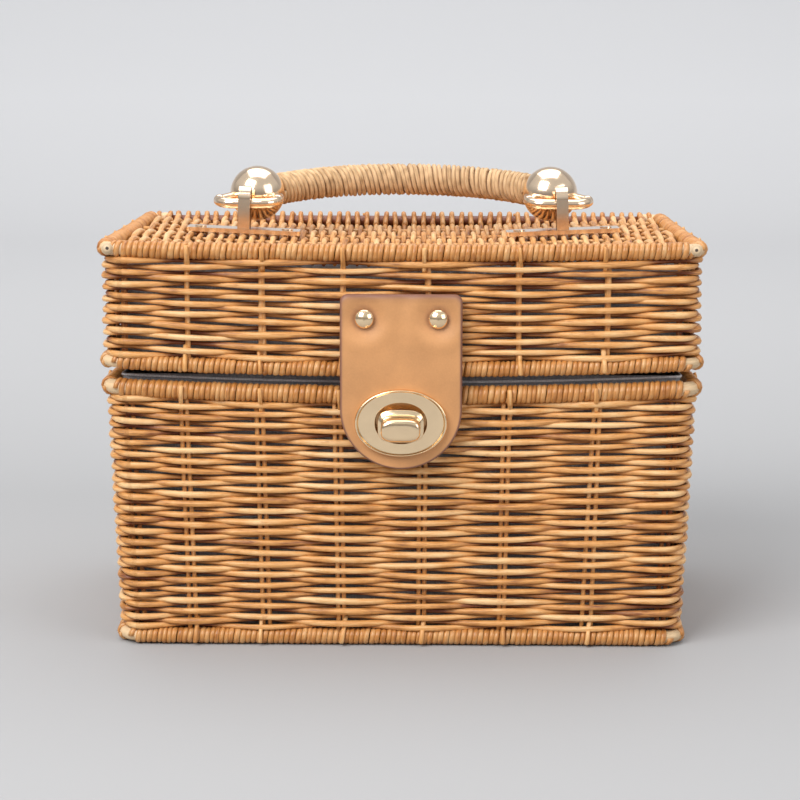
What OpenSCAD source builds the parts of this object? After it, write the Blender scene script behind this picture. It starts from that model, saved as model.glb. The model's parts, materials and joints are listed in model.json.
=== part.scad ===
// Wicker box bag: a leaning woven base, a hinged woven lid, a leather clasp tab with a turn lock
// and a twine-wrapped handle folded back on the lid. Millimetres, front towards -Y, up is +Z,
// origin at the middle of the underside.

/* [Base] */
// Width of the base over its weave at the mouth
base_w = 222; // [190:1:250]
// Depth of the base over its weave at the mouth
base_d = 141; // [120:1:170]
// Height of the base with both rims
base_h = 102; // [88:0.5:120]
// How far each wall leans in from mouth to foot
base_lean = 3.5; // [1:0.5:6]
// Thickness of the floor mat
floor_t = 4; // [3:0.5:5]

/* [Lid] */
// How much wider the lid is than the base's mouth
lid_over_w = 1; // [0:0.5:6]
// How much deeper the lid is than the base's mouth
lid_over_d = 3.5; // [2.5:0.5:6]
// Height of the lid with its rim and border
lid_h = 48; // [42:0.5:60]
// Seam between the base's mouth and the lid's rim
seam = 3; // [1.5:0.25:4]
// How far the top mat sags in its middle
top_sag = 4; // [0:0.5:5]

/* [Weave] */
// Depth of a woven wall over its rods
wall_t = 6; // [5:0.25:7]
// Radius of a box corner at the middle of the wall
corner_r = 7; // [6:0.5:9]
// Height of one course of rods
course_h = 5.3; // [4.5:0.1:7]
// Distance between stakes along a wall
stake_pitch = 28.5; // [24:0.5:40]
// Height of the lens-shaped gap between two rods
gap_h = 1.1; // [0.6:0.1:1.6]
// Distance between the raised rods of the top and floor mats
mat_pitch = 4.1; // [3.6:0.1:8]
// Height of the raised rods of the mats
mat_rise = 1.6; // [0.8:0.1:2]

/* [Rims] */
// Diameter of the wrapped rod round the foot
foot_rim_d = 6.6; // [5:0.2:8]
// Diameter of the wrapped rod round the mouth
mouth_rim_d = 7.4; // [6:0.2:8]
// Diameter of the wrapped rod round the lid's lower edge
lid_rim_d = 6.2; // [5:0.2:7]
// Diameter of the wrapped rod round the lid's top
border_d = 6.9; // [5.5:0.1:8]
// Distance between two turns of the wrapping
wrap_pitch = 2.6; // [2:0.1:4]
// Depth of the peel that the rims are wrapped with
wrap_t = 0.8; // [0.5:0.1:1.2]

/* [Lining] */
// Thickness of the fabric lining
lining_t = 1; // [0.6:0.1:1.5]
// How far the base's lining stands above the mouth rim
lining_lip = 0.9; // [0:0.1:1.2]

/* [Hinge loops] */
// Distance of each cane loop from the base's end
loop_inset = 46; // [26:1:70]
// Width of a loop, all its turns together
loop_w = 8; // [5:0.5:14]
// Thickness of the cane in a loop
loop_t = 1.6; // [1.2:0.1:2.2]

/* [Clasp tab] */
// Width of the leather tab
tab_w = 45.6; // [40:0.2:56]
// Thickness of the leather
tab_t = 2.2; // [1.5:0.1:3]
// Length of the tab from its top edge to its round end
tab_l = 64.5; // [58:0.5:72]
// Length of the part riveted to the lid
tab_fixed_l = 17.5; // [15:0.5:20]
// Distance of the tab's top edge below the lid's top
tab_drop = 19; // [15:0.5:24]
// Radius of the tab's top corners
tab_corner_r = 3; // [1:0.5:6]
// Distance between the two rivets
rivet_pitch = 26.8; // [18:0.2:34]
// Distance of the rivets below the tab's top edge
rivet_drop = 9; // [7:0.5:11]
// Diameter of a rivet's domed head
rivet_d = 6.8; // [5:0.2:9]
// Diameter of a rivet's shank
rivet_shank_d = 2.6; // [2:0.2:3.4]

/* [Turn lock] */
// Length of the oval eyelet plate
eyelet_l = 34; // [30:0.5:40]
// Height of the oval eyelet plate
eyelet_h = 24.8; // [22:0.2:28]
// Thickness of the eyelet plate in front of the leather
eyelet_t = 2.5; // [2:0.1:3.5]
// Length of the eyelet's hole
hole_l = 18.8; // [17:0.2:21]
// Height of the eyelet's hole
hole_h = 15; // [13.6:0.2:17]
// Distance of the lock's middle above the tab's round end
lock_rise = 17.5; // [16:0.5:20]
// Length of the knob's grip
knob_l = 14.4; // [11:0.2:16]
// Thickness of the knob's grip
knob_h = 8.8; // [7:0.2:10]
// How far the knob stands out from its flange
knob_out = 10; // [5:0.5:12]
// Length of the knob's flange
flange_l = 16.8; // [15:0.2:18]
// Height of the knob's flange
flange_h = 12; // [10:0.2:13]
// Diameter of the knob's stem
stem_d = 5; // [4:0.2:6]
// How far the knob sits below the middle of the eyelet's hole
knob_sit = 0.8; // [0:0.1:1.1]
// Thickness of the lock's inner plates and washers
plate_t = 1; // [0.8:0.1:1.2]

/* [Handle] */
// Distance of each handle plate from the middle
anchor_x = 62.5; // [50:0.5:75]
// Length of a handle plate
anchor_l = 44; // [36:1:52]
// Width of a handle plate
anchor_w = 12; // [11:0.5:16]
// Thickness of a handle plate
anchor_t = 1.6; // [1.2:0.1:2.4]
// Distance of the swing axis in front of the middle of the lid
swing_fwd = 6; // [0:0.5:12]
// Height of the swing axis above a handle plate
swing_rise = 9.6; // [9:0.1:14]
// Width of a bail's strap
bail_w = 4.6; // [3:0.2:6]
// Thickness of a bail's strap
bail_t = 2; // [1.5:0.1:2.4]
// Free depth inside a bail
bail_gap = 6.2; // [5.4:0.2:7]
// Diameter of an end ball
ball_d = 21.8; // [17:0.2:23]
// Distance of a ball's middle from the swing axis
ball_back = 19.6; // [18:0.2:24]
// Distance of a ball's middle from the middle of the handle
ball_x = 58.6; // [48:0.2:72]
// Diameter of the eye's bar
eye_d = 4; // [3:0.2:4.4]
// Outer width of an eye
eye_w = 27; // [23:0.5:30]
// Distance of an eye's middle outwards from its ball
eye_out = 2.5; // [0:0.5:4]
// Diameter of the wrapped grip
grip_d = 13; // [11:0.5:15]
// Rise of the grip's arc between the balls
grip_rise = 29; // [22:0.5:36]
// Angle at which the folded handle stands above the lid
fold_angle = 8; // [4:0.5:10]
// Distance between two ridges of the twine
twine_pitch = 4; // [3:0.1:6]
// Depth of the ridges of the twine
twine_depth = 0.5; // [0.2:0.1:0.8]

/* [Fits] */
// Gap between neighbours that only lie against each other
fit = 0.3; // [0.2:0.05:0.4]
// Gap round what turns or passes through
run = 0.35; // [0.3:0.05:0.5]

/* [Hidden] */
$fn = 48;
wicker = "#b9813f";
peel = "#c08a48";
cane = "#d9b98a";
grey_cloth = "#8d949c";
leather = "#c58a58";
gold = "#d8b487";
twine = "#dcc49a";

// Walls: half sizes at the middle of the wall, and the heights of the woven parts
lid_w = base_w + lid_over_w;
lid_d = base_d + lid_over_d;
loop_x = base_w / 2 - loop_inset;
mouth_x = base_w / 2 - wall_t / 2;
mouth_y = base_d / 2 - wall_t / 2;
function lean(z) = base_lean * (1 - z / base_h);
foot_z = foot_rim_d / 2;
mouth_z = base_h - mouth_rim_d / 2;
wall_z0 = foot_rim_d + fit;
wall_z1 = base_h - mouth_rim_d - fit;
lid_x = lid_w / 2 - wall_t / 2;
lid_y = lid_d / 2 - wall_t / 2;
lid_z = base_h + seam;
lid_top = lid_z + lid_h;
hinge_z = lid_z + lid_rim_d / 2;
border_z = lid_top - border_d / 2;
side_z0 = lid_z + lid_rim_d + fit;
side_z1 = lid_top - border_d - fit;

// Relief of the weave, measured out from the middle of the wall
rod_peak = wall_t / 2;
rod_dip = 0.4;
rod_edge = 0.6;
span_rod = 1.9;
span_edge = 0.9;
wall_back = 2.2;

// Lining: outer faces just inside the rims
line_in = mouth_rim_d / 2 + fit;
lid_line_in = border_d / 2 + fit;
lid_line_z0 = side_z0 + loop_t + 2 * run;
mat_mid = lid_top - wall_t / 2 - fit;
lid_line_z1 = mat_mid - wall_back - top_sag - 2 * plate_t - 2 * fit;

// Clasp: planes counted forwards from the middle of the box
tab_y = lid_y + border_d / 2 + fit;
tab_z1 = lid_top - tab_drop;
bend_z = tab_z1 - tab_fixed_l;
tab_z0 = tab_z1 - tab_l;
lock_z = tab_z0 + lock_rise;
knob_z = lock_z - knob_sit;
rivet_z = tab_z1 - rivet_drop;
lock_plate_l = eyelet_l - 4;
lock_plate_h = eyelet_h - 4;
collar_d = stem_d + 2 * run + 3;
prong_x = lock_plate_l / 2 - 4;
prong_d = 2;
back_y = tab_y - plate_t;
lock_back = mouth_y - lean(knob_z + lock_plate_h / 2) + rod_peak + fit / 2;
lock_front = back_y - fit;
eyelet_y = tab_y + tab_t + eyelet_t;
knob_y = eyelet_y + run;
inner_y = mouth_y - lean(knob_z - lock_plate_h / 2) - line_in - lining_t - fit;
flange_t = 1;
rivet_in = lid_y - lid_line_in - lining_t - fit;

// Handle: the top mat's upper face under a plate, and the swing axis
function mat_z(x) = mat_mid + rod_peak - top_sag * (1 - pow(x / lid_x, 2));
anchor_tilt = atan(2 * top_sag * anchor_x / pow(lid_x, 2));
anchor_z = mat_z(anchor_x) + fit;
swing_z = anchor_z + anchor_t + swing_rise;
bail_r = bail_gap / 2 + bail_t;
grip_r = (pow(ball_x, 2) + pow(grip_rise, 2)) / (2 * grip_rise);
grip_c = ball_back + grip_rise - grip_r;
grip_end = asin(ball_x / grip_r);
seat_off = sqrt(pow(ball_d / 2, 2) - pow(grip_d / 2 - twine_depth, 2));
seat_turn = grip_end - asin(seat_off / grip_r);
spigot_d = grip_d / 2;
spigot_l = 9;
eye_r = 6;
plate_rivet_x = anchor_l / 2 - 5;
plate_rivet_d = 3;

// Weave: a patch with rods running over and under the stakes, and lens-shaped gaps between rods

function mix(p, q, t) = p + (q - p) * t;

// Place on a patch of four corners (low left, low right, high left, high right)
function patch(k, u, v) = mix(mix(k[0], k[1], u), mix(k[2], k[3], u), v);

// Height of the outer face: i counts half spans, j counts half courses
function relief(i, j, nu, odd) =
    i % 2 == 1 ? (j % 2 == 1 ? span_rod : span_edge)
    : j % 2 == 0 ? rod_edge
    : i == 0 || i == nu ? span_rod
    : ((i + j - 1) / 2 + odd) % 2 == 0 ? rod_peak : rod_dip;

// A gap lies at every second crossing of a half span and a course edge, away from the wall's ends
function gap_at(i, j, nu, nv) =
    i % 2 == 1 && j % 2 == 0 && i > 1 && i < nu - 1 && j > 0 && j < nv && ((i - 1) / 2 + j / 2) % 2 == 0;

module woven(k, normal, spans, courses, odd = 0, sag = 0) {
    nu = 2 * spans;
    nv = 2 * courses;
    up = (k[2] - k[0]) / norm(k[2] - k[0]);
    function at(i, j, out, lift) =
        patch(k, i / nu, j / nv) + up * lift
        + normal * (out - sag * (1 - pow(2 * j / nv - 1, 2)));
    // Outer points, low and high of a gap; then inner points on the course edges only
    outer_low = [for (i = [0:nu], j = [0:nv])
        at(i, j, relief(i, j, nu, odd), gap_at(i, j, nu, nv) ? -gap_h / 2 : 0)];
    outer_high = [for (i = [0:nu], j = [0:nv])
        at(i, j, relief(i, j, nu, odd), gap_at(i, j, nu, nv) ? gap_h / 2 : 0)];
    inner_low = [for (i = [0:nu], j = [0:courses])
        at(i, 2 * j, -wall_back, gap_at(i, 2 * j, nu, nv) ? -gap_h / 2 : 0)];
    inner_high = [for (i = [0:nu], j = [0:courses])
        at(i, 2 * j, -wall_back, gap_at(i, 2 * j, nu, nv) ? gap_h / 2 : 0)];
    n_out = (nu + 1) * (nv + 1);
    n_in = (nu + 1) * (courses + 1);
    function ol(i, j) = i * (nv + 1) + j;
    function oh(i, j) = gap_at(i, j, nu, nv) ? n_out + ol(i, j) : ol(i, j);
    function il(i, j) = 2 * n_out + i * (courses + 1) + j;
    function ih(i, j) = gap_at(i, 2 * j, nu, nv) ? n_in + il(i, j) : il(i, j);
    points = concat(outer_low, outer_high, inner_low, inner_high);
    front = [for (i = [0:nu - 1], j = [0:nv - 1]) each
        (i + j) % 2 == 0
        ? [[oh(i, j), ol(i, j + 1), ol(i + 1, j + 1)], [oh(i, j), ol(i + 1, j + 1), oh(i + 1, j)]]
        : [[oh(i, j), ol(i, j + 1), oh(i + 1, j)], [ol(i, j + 1), ol(i + 1, j + 1), oh(i + 1, j)]]];
    back = [for (i = [0:nu - 1], j = [0:courses - 1]) each
        [[ih(i, j), ih(i + 1, j), il(i + 1, j + 1)], [ih(i, j), il(i + 1, j + 1), il(i, j + 1)]]];
    foot = [for (i = [0:nu - 1]) each
        [[ol(i, 0), ol(i + 1, 0), il(i + 1, 0)], [ol(i, 0), il(i + 1, 0), il(i, 0)]]];
    head = [for (i = [0:nu - 1]) each
        [[ol(i, nv), il(i, courses), il(i + 1, courses)], [ol(i, nv), il(i + 1, courses), ol(i + 1, nv)]]];
    ends = [for (j = [0:courses - 1]) each [
        [ol(0, 2 * j), il(0, j), il(0, j + 1)],
        [ol(0, 2 * j), il(0, j + 1), ol(0, 2 * j + 1)],
        [ol(0, 2 * j + 1), il(0, j + 1), ol(0, 2 * j + 2)],
        [ol(nu, 2 * j), il(nu, j + 1), il(nu, j)],
        [ol(nu, 2 * j), ol(nu, 2 * j + 1), il(nu, j + 1)],
        [ol(nu, 2 * j + 1), ol(nu, 2 * j + 2), il(nu, j + 1)]]];
    slots = [for (i = [0:nu], j = [0:courses]) if (gap_at(i, 2 * j, nu, nv)) each [
        [ol(i - 1, 2 * j), oh(i, 2 * j), ih(i, j)], [ol(i - 1, 2 * j), ih(i, j), il(i - 1, j)],
        [oh(i, 2 * j), ol(i + 1, 2 * j), il(i + 1, j)], [oh(i, 2 * j), il(i + 1, j), ih(i, j)],
        [ol(i, 2 * j), ol(i - 1, 2 * j), il(i - 1, j)], [ol(i, 2 * j), il(i - 1, j), il(i, j)],
        [ol(i + 1, 2 * j), ol(i, 2 * j), il(i, j)], [ol(i + 1, 2 * j), il(i, j), il(i + 1, j)]]];
    polyhedron(points, concat(front, back, foot, head, ends, slots));
}

// Mat of rods that run front to back over every second cross stake: one block of ridges for each stake,
// each block shifted by half a pitch, with a ridge in the very middle and the corners cut clear of the rim's
// bends. Crest, valley and under are heights from the mat's middle.
module mat(hx, hy, crest, valley, under, sag) {
    ribs = 2 * round(hx / mat_pitch);
    p = 2 * hx / ribs;
    half = floor(hy / stake_pitch);
    blocks = 2 * half + 1;
    function dip(x) = sag * (1 - pow(x / lid_x, 2));
    function ridge(j) =
        let (x = -hx + j * p / 2, a = max(-hx, x - p / 7), b = min(hx, x + p / 7))
            [[a, crest - dip(a)], [b, crest - dip(b)]];
    function valley_at(j) = let (x = -hx + j * p / 2) [[x, valley - dip(x)]];
    difference() {
        for (k = [0:blocks - 1])
            let (
                outer = [for (j = [0:2 * ribs]) each (abs(j - ribs) + abs(k - half)) % 2 == 0 ? ridge(j) : valley_at(j)],
                inner = [for (j = [0:12]) let (x = hx - j * hx / 6) [x, under - dip(x)]])
                translate([0, -hy + 2 * hy * (k + 1) / blocks, 0])
                    rotate([90, 0, 0])
                        linear_extrude(2 * hy / blocks)
                            polygon(concat(outer, inner));
        for (sx = [-1, 1], sy = [-1, 1])
            translate([sx * hx, sy * hy, 0])
                rotate(45)
                    cube([corner_r / 2, corner_r / 2, 4 * wall_t], center = true);
    }
}

// One wall of a box: side 0 is the front, then right, back and left; half sizes at its foot and head
module wall(side, half0, half1, z0, z1, odd) {
    w = side % 2;
    long0 = half0[w] - corner_r - fit;
    long1 = half1[w] - corner_r - fit;
    deep0 = half0[1 - w];
    deep1 = half1[1 - w];
    tilt = atan((deep1 - deep0) / (z1 - z0));
    spans = max(3, round(2 * long1 / stake_pitch));
    courses = max(3, round((z1 - z0) / course_h));
    k = [[-long0, -deep0, z0], [long0, -deep0, z0], [-long1, -deep1, z1], [long1, -deep1, z1]];
    rotate([0, 0, 90 * side])
        woven(k, [0, -cos(tilt), -sin(tilt)], spans, courses, odd);
}

module base_wall(side) {
    color(wicker)
        wall(side, [mouth_x - lean(wall_z0), mouth_y - lean(wall_z0)],
            [mouth_x - lean(wall_z1), mouth_y - lean(wall_z1)], wall_z0, wall_z1, side % 2);
}

module lid_wall(side) {
    color(wicker)
        wall(side, [lid_x, lid_y], [lid_x, lid_y], side_z0, side_z1, side % 2);
}

// Rods bent round a corner stake, one above the other: a scalloped profile turned through the corner
module corner_rods(h) {
    rods = round(2 * h / course_h);
    pitch = h / rods;
    out = corner_r + span_edge;
    rotate_extrude(angle = 90)
        polygon(concat(
            [[corner_r - wall_back, 0], [out, 0]],
            [for (j = [0:rods - 1], p = [[0.25, 0.43], [0.75, 0.43], [1, 0]])
                [out + p[1] * pitch, (j + p[0]) * pitch]],
            [[corner_r - wall_back, h]]));
}

// The four corners of a box, each leaning with the two walls beside it
module corners(half0, half1, z0, z1) {
    h = z1 - z0;
    lean_xy = half1[0] - half0[0];
    for (q = [0:3])
        let (sx = q == 0 || q == 3 ? 1 : -1, sy = q < 2 ? 1 : -1)
            translate([sx * (half0[0] - corner_r), sy * (half0[1] - corner_r), z0])
                rotate([-sy * atan(lean_xy / h), sx * atan(lean_xy / h), 0])
                    rotate([0, 0, 90 * q])
                        corner_rods(h);
}

// Wrapped rims: straight wrapped lengths with bare bends between them

module wrapped_length(l, d) {
    turns = round(l / wrap_pitch);
    pitch = l / turns;
    rotate([0, 90, 0])
        rotate_extrude()
            polygon(concat(
                [[0, -l / 2], [d / 2 - wrap_t, -l / 2]],
                [for (j = [0:turns - 1], p = [[0.5, 0], [1, wrap_t]])
                    [d / 2 - p[1], (j + p[0]) * pitch - l / 2]],
                [[0, l / 2]]));
}

module bare_bend(d) {
    cut = asin(fit / corner_r);
    rotate([0, 0, cut])
        rotate_extrude(angle = 90 - 2 * cut)
            translate([corner_r, 0])
                circle(d = d - 2 * wrap_t);
}

module rim(half, z, d) {
    for (side = [0:3])
        rotate([0, 0, 90 * side])
            translate([0, -half[1 - side % 2], z])
                wrapped_length(2 * (half[side % 2] - corner_r), d);
    for (q = [0:3])
        let (sx = q == 0 || q == 3 ? 1 : -1, sy = q < 2 ? 1 : -1)
            translate([sx * (half[0] - corner_r), sy * (half[1] - corner_r), z])
                rotate([0, 0, 90 * q])
                    bare_bend(d);
}

// Pockets in the weave and lining that the hinge loops lie in
module loop_pockets() {
    for (s = [-1, 1])
        translate([s * loop_x, 0, 0])
            rotate([0, 90, 0])
                linear_extrude(loop_w + 2 * run, center = true)
                    union() {
                        translate([-hinge_z, lid_y])
                            circle(r = lid_rim_d / 2 + loop_t + 2 * run);
                        translate([-mouth_z, mouth_y - lean(mouth_z)])
                            circle(r = mouth_rim_d / 2 + loop_t + 2 * run);
                    }
}

// Fabric tub with round corners, open at the top
module tub(half0, half1, z0, z1, r) {
    hull()
        for (sx = [-1, 1], sy = [-1, 1]) {
            translate([sx * (half0[0] - r), sy * (half0[1] - r), z0])
                cylinder(r = r, h = 0.01, $fn = 24);
            translate([sx * (half1[0] - r), sy * (half1[1] - r), z1 - 0.01])
                cylinder(r = r, h = 0.01, $fn = 24);
        }
}

module base_floor() {
    hx = mouth_x - lean(foot_z) - foot_rim_d / 2 - fit;
    hy = mouth_y - lean(foot_z) - foot_rim_d / 2 - fit;
    color(wicker)
        mat(hx, hy, 0, mat_rise, floor_t, 0);
}

module base_front_weave() {
    difference() {
        base_wall(0);
        lock_bores(mouth_y + wall_t, wall_t * 3);
    }
}

module base_back_weave() {
    difference() {
        base_wall(2);
        loop_pockets();
    }
}

module base_left_weave() { base_wall(3); }

module base_right_weave() { base_wall(1); }

module base_corner_weave() {
    color(wicker)
        corners([mouth_x - lean(wall_z0), mouth_y - lean(wall_z0)],
            [mouth_x - lean(wall_z1), mouth_y - lean(wall_z1)], wall_z0, wall_z1);
}

module base_foot_rim() {
    color(peel)
        rim([mouth_x - lean(foot_z), mouth_y - lean(foot_z)], foot_z, foot_rim_d);
}

module base_mouth_rim() {
    color(peel)
        rim([mouth_x - lean(mouth_z), mouth_y - lean(mouth_z)], mouth_z, mouth_rim_d);
}

module base_lining() {
    z0 = floor_t + fit;
    z1 = base_h + lining_lip;
    out0 = [mouth_x - lean(z0) - line_in, mouth_y - lean(z0) - line_in];
    out1 = [mouth_x - lean(z1) - line_in, mouth_y - lean(z1) - line_in];
    r = corner_r - line_in;
    in = [lining_t, lining_t];
    color(grey_cloth)
        difference() {
            tub(out0, out1, z0, z1, r);
            translate([0, 0, lining_t])
                tub(out0 - in, out1 - in, z0, z1, r - lining_t);
            lock_bores(mouth_y, wall_t * 3);
            loop_pockets();
        }
}

module hinge_loop() {
    a = [-hinge_z, lid_y];
    b = [-mouth_z, mouth_y - lean(mouth_z)];
    ra = lid_rim_d / 2 + run;
    rb = mouth_rim_d / 2 + run;
    color(cane)
        translate([loop_x, 0, 0])
            rotate([0, 90, 0])
                linear_extrude(loop_w, center = true)
                    difference() {
                        union() {
                            translate(a) circle(r = ra + loop_t);
                            translate(b) circle(r = rb + loop_t);
                        }
                        translate(a) circle(r = ra);
                        translate(b) circle(r = rb);
                    }
}

module left_hinge_loop() { mirror([1, 0, 0]) hinge_loop(); }

module right_hinge_loop() { hinge_loop(); }

// Turn lock

// Oval of four arcs, a long and b high (half sizes), with end arcs of radius r
module oval(a, b, r) {
    big = (pow(a - r, 2) + b * b - r * r) / (2 * (b - r));
    touch = (a - r) * big / (big - r);
    union() {
        for (s = [-1, 1])
            translate([s * (a - r), 0])
                circle(r = r);
        intersection() {
            translate([0, big - b]) circle(r = big, $fn = 96);
            translate([0, b - big]) circle(r = big, $fn = 96);
            square([2 * touch, 2 * b], center = true);
        }
    }
}

// Puts a flat shape upright, facing the front, with its back y mm in front of the middle
module facing(y, z, depth) {
    translate([0, -y, z])
        rotate([90, 0, 0])
            linear_extrude(depth)
                children();
}

// Bores for the knob's stem and the lock plate's prongs, from y forwards inwards
module lock_bores(y, depth) {
    facing(y - depth, knob_z, depth) {
        circle(d = stem_d + 2 * run);
        for (s = [-1, 1])
            translate([s * prong_x, 0])
                circle(d = prong_d + 2 * fit);
    }
}

module lock_plate() {
    color(gold)
        difference() {
            union() {
                facing(lock_back, knob_z, lock_front - lock_back)
                    oval(lock_plate_l / 2, lock_plate_h / 2, 0.7 * lock_plate_h / 2);
                facing(lock_back, knob_z, eyelet_y - lock_back)
                    circle(d = collar_d);
                facing(inner_y - plate_t, knob_z, lock_back - inner_y + 2 * plate_t)
                    for (s = [-1, 1])
                        translate([s * prong_x, 0])
                            circle(d = prong_d);
            }
            facing(lock_back - plate_t, knob_z, eyelet_y)
                circle(d = stem_d + 2 * run);
        }
}

module lock_backing() {
    color(gold)
        facing(inner_y - plate_t, knob_z, plate_t)
            difference() {
                oval(lock_plate_l / 2, lock_plate_h / 2, 0.7 * lock_plate_h / 2);
                circle(d = stem_d + 2 * run);
                for (s = [-1, 1])
                    translate([s * prong_x, 0])
                        circle(d = prong_d + fit);
            }
}

// A bar with round ends, l long and h high
module oblong(l, h) {
    for (s = [-1, 1])
        translate([s * (l - h) / 2, 0])
            circle(d = h);
    square([l - h, h], center = true);
}

module turn_knob() {
    washer_y = inner_y - plate_t - run;
    color(gold)
        union() {
            facing(washer_y - plate_t, knob_z, knob_y + flange_t - washer_y + plate_t)
                circle(d = stem_d);
            facing(washer_y - plate_t, knob_z, plate_t)
                circle(d = stem_d + 4);
            facing(knob_y, knob_z, flange_t)
                oblong(flange_l, flange_h);
            facing(knob_y + flange_t, knob_z, knob_out - 2.4)
                oblong(knob_l, knob_h);
            facing(knob_y + flange_t, knob_z, knob_out - 1)
                oblong(knob_l - 1.2, knob_h - 1.6);
            facing(knob_y + flange_t, knob_z, knob_out)
                oblong(knob_l - 2.8, knob_h - 3.6);
        }
}

// Lid

module lid_top_weave() {
    hx = lid_x - border_d / 2 - fit;
    hy = lid_y - border_d / 2 - fit;
    color(wicker)
        difference() {
            translate([0, 0, mat_mid])
                mat(hx, hy, rod_peak, rod_peak - mat_rise, -wall_back, top_sag);
            plate_rivet_bores(plate_rivet_d + 2 * fit);
        }
}

module lid_front_weave() {
    difference() {
        lid_wall(0);
        facing(lid_y - wall_t, rivet_z, 2 * wall_t)
            rivet_spots() circle(d = rivet_shank_d + 2 * fit);
    }
}

module lid_back_weave() {
    difference() {
        lid_wall(2);
        loop_pockets();
    }
}

module lid_left_weave() { lid_wall(3); }

module lid_right_weave() { lid_wall(1); }

module lid_corner_weave() {
    color(wicker)
        corners([lid_x, lid_y], [lid_x, lid_y], side_z0, side_z1);
}

module lid_rim() {
    color(peel)
        rim([lid_x, lid_y], hinge_z, lid_rim_d);
}

module lid_border() {
    color(peel)
        rim([lid_x, lid_y], border_z, border_d);
}

// Rectangle of half sizes with round corners
module round_rect(half, r) {
    square([2 * half[0] - 2 * r, 2 * half[1]], center = true);
    square([2 * half[0], 2 * half[1] - 2 * r], center = true);
    for (sx = [-1, 1], sy = [-1, 1])
        translate([sx * (half[0] - r), sy * (half[1] - r)])
            circle(r = r);
}

module lid_lining() {
    out = [lid_x - lid_line_in, lid_y - lid_line_in];
    r = corner_r - lid_line_in;
    h = lid_line_z1 - lid_line_z0;
    color(grey_cloth)
        difference() {
            translate([0, 0, lid_line_z0])
                linear_extrude(h)
                    round_rect(out, r);
            translate([0, 0, lid_line_z0 - lining_t])
                linear_extrude(h)
                    round_rect(out - [lining_t, lining_t], r - lining_t);
            facing(rivet_in - wall_t, rivet_z, 2 * wall_t)
                rivet_spots() circle(d = rivet_shank_d + 2 * fit);
        }
}

// Places of the two rivets of the tab
module rivet_spots() {
    for (s = [-1, 1])
        translate([s * rivet_pitch / 2, 0])
            children();
}

module clasp_tab() {
    color(leather)
        facing(tab_y, 0, tab_t)
            difference() {
                union() {
                    translate([-tab_w / 2, bend_z])
                        square([tab_w, tab_fixed_l - tab_corner_r]);
                    translate([-tab_w / 2 + tab_corner_r, bend_z])
                        square([tab_w - 2 * tab_corner_r, tab_fixed_l]);
                    for (s = [-1, 1])
                        translate([s * (tab_w / 2 - tab_corner_r), tab_z1 - tab_corner_r])
                            circle(r = tab_corner_r);
                }
                translate([0, rivet_z])
                    rivet_spots() circle(d = rivet_shank_d + fit);
            }
}

module tab_rivets() {
    color(gold)
        for (s = [-1, 1])
            translate([s * rivet_pitch / 2, -tab_y - tab_t, rivet_z])
                rotate([90, 0, 0])
                    rotate_extrude()
                        union() {
                            intersection() {
                                translate([0, 2.2 - rivet_d * 0.65])
                                    circle(r = rivet_d * 0.65);
                                square([rivet_d / 2, 2.2]);
                            }
                            translate([0, rivet_in - tab_y - tab_t])
                                square([rivet_shank_d / 2, tab_y + tab_t - rivet_in + 0.5]);
                            translate([0, rivet_in - plate_t - tab_y - tab_t])
                                square([rivet_d / 2 - 0.4, plate_t]);
                        }
}

// Clasp flap with its eyelet

module clasp_flap() {
    r = tab_w / 2;
    color(leather)
        facing(tab_y, 0, tab_t)
            difference() {
                union() {
                    translate([0, tab_z0 + r])
                        circle(r = r, $fn = 96);
                    translate([-r, tab_z0 + r])
                        square([tab_w, tab_l - tab_fixed_l - r]);
                }
                translate([0, lock_z])
                    oval(hole_l / 2 + 1.2 + fit, hole_h / 2 + 1.2 + fit, 0.85 * hole_h / 2);
            }
}

module eyelet_plate() {
    color(gold)
        difference() {
            union() {
                facing(tab_y + tab_t, lock_z, eyelet_t - 0.8)
                    oval(eyelet_l / 2, eyelet_h / 2, 0.72 * eyelet_h / 2);
                facing(tab_y + tab_t, lock_z, eyelet_t)
                    oval(eyelet_l / 2 - 1.2, eyelet_h / 2 - 1.2, 0.72 * eyelet_h / 2 - 1.2);
                facing(tab_y - plate_t, lock_z, tab_t + plate_t + 1)
                    oval(hole_l / 2 + 1.2, hole_h / 2 + 1.2, 0.85 * hole_h / 2);
            }
            facing(tab_y - 2 * plate_t, lock_z, 4 * eyelet_t)
                oval(hole_l / 2, hole_h / 2, 0.85 * hole_h / 2);
        }
}

module eyelet_backing() {
    color(gold)
        facing(tab_y - plate_t, lock_z, plate_t)
            difference() {
                oval(eyelet_l / 2 - 1.5, eyelet_h / 2 - 1.5, 0.72 * eyelet_h / 2 - 1.5);
                oval(hole_l / 2 + 1.2 + fit, hole_h / 2 + 1.2 + fit, 0.85 * hole_h / 2);
            }
}

// Handle plates, bails and their rivets

// Puts a right-hand piece on the sagging top mat, upright on its plate
module on_anchor() {
    translate([anchor_x, -swing_fwd, anchor_z])
        rotate([0, -anchor_tilt, 0])
            children();
}

module plate_rivet_bores(d) {
    for (m = [0, 1])
        mirror([m, 0, 0])
            on_anchor()
                for (s = [-1, 1])
                    translate([s * plate_rivet_x, 0, -3 * wall_t])
                        cylinder(d = d, h = 4 * wall_t);
}

module handle_plate() {
    color(gold)
        difference() {
            on_anchor()
                linear_extrude(anchor_t)
                    difference() {
                        union() {
                            square([anchor_l - 2, anchor_w], center = true);
                            square([anchor_l, anchor_w - 2], center = true);
                            for (sx = [-1, 1], sy = [-1, 1])
                                translate([sx * (anchor_l / 2 - 1), sy * (anchor_w / 2 - 1)])
                                    circle(r = 1);
                        }
                        for (s = [-1, 1])
                            translate([s * plate_rivet_x, 0])
                                circle(d = plate_rivet_d + fit);
                    }
        }
}

module right_handle_plate() { handle_plate(); }

module left_handle_plate() { mirror([1, 0, 0]) handle_plate(); }

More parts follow.
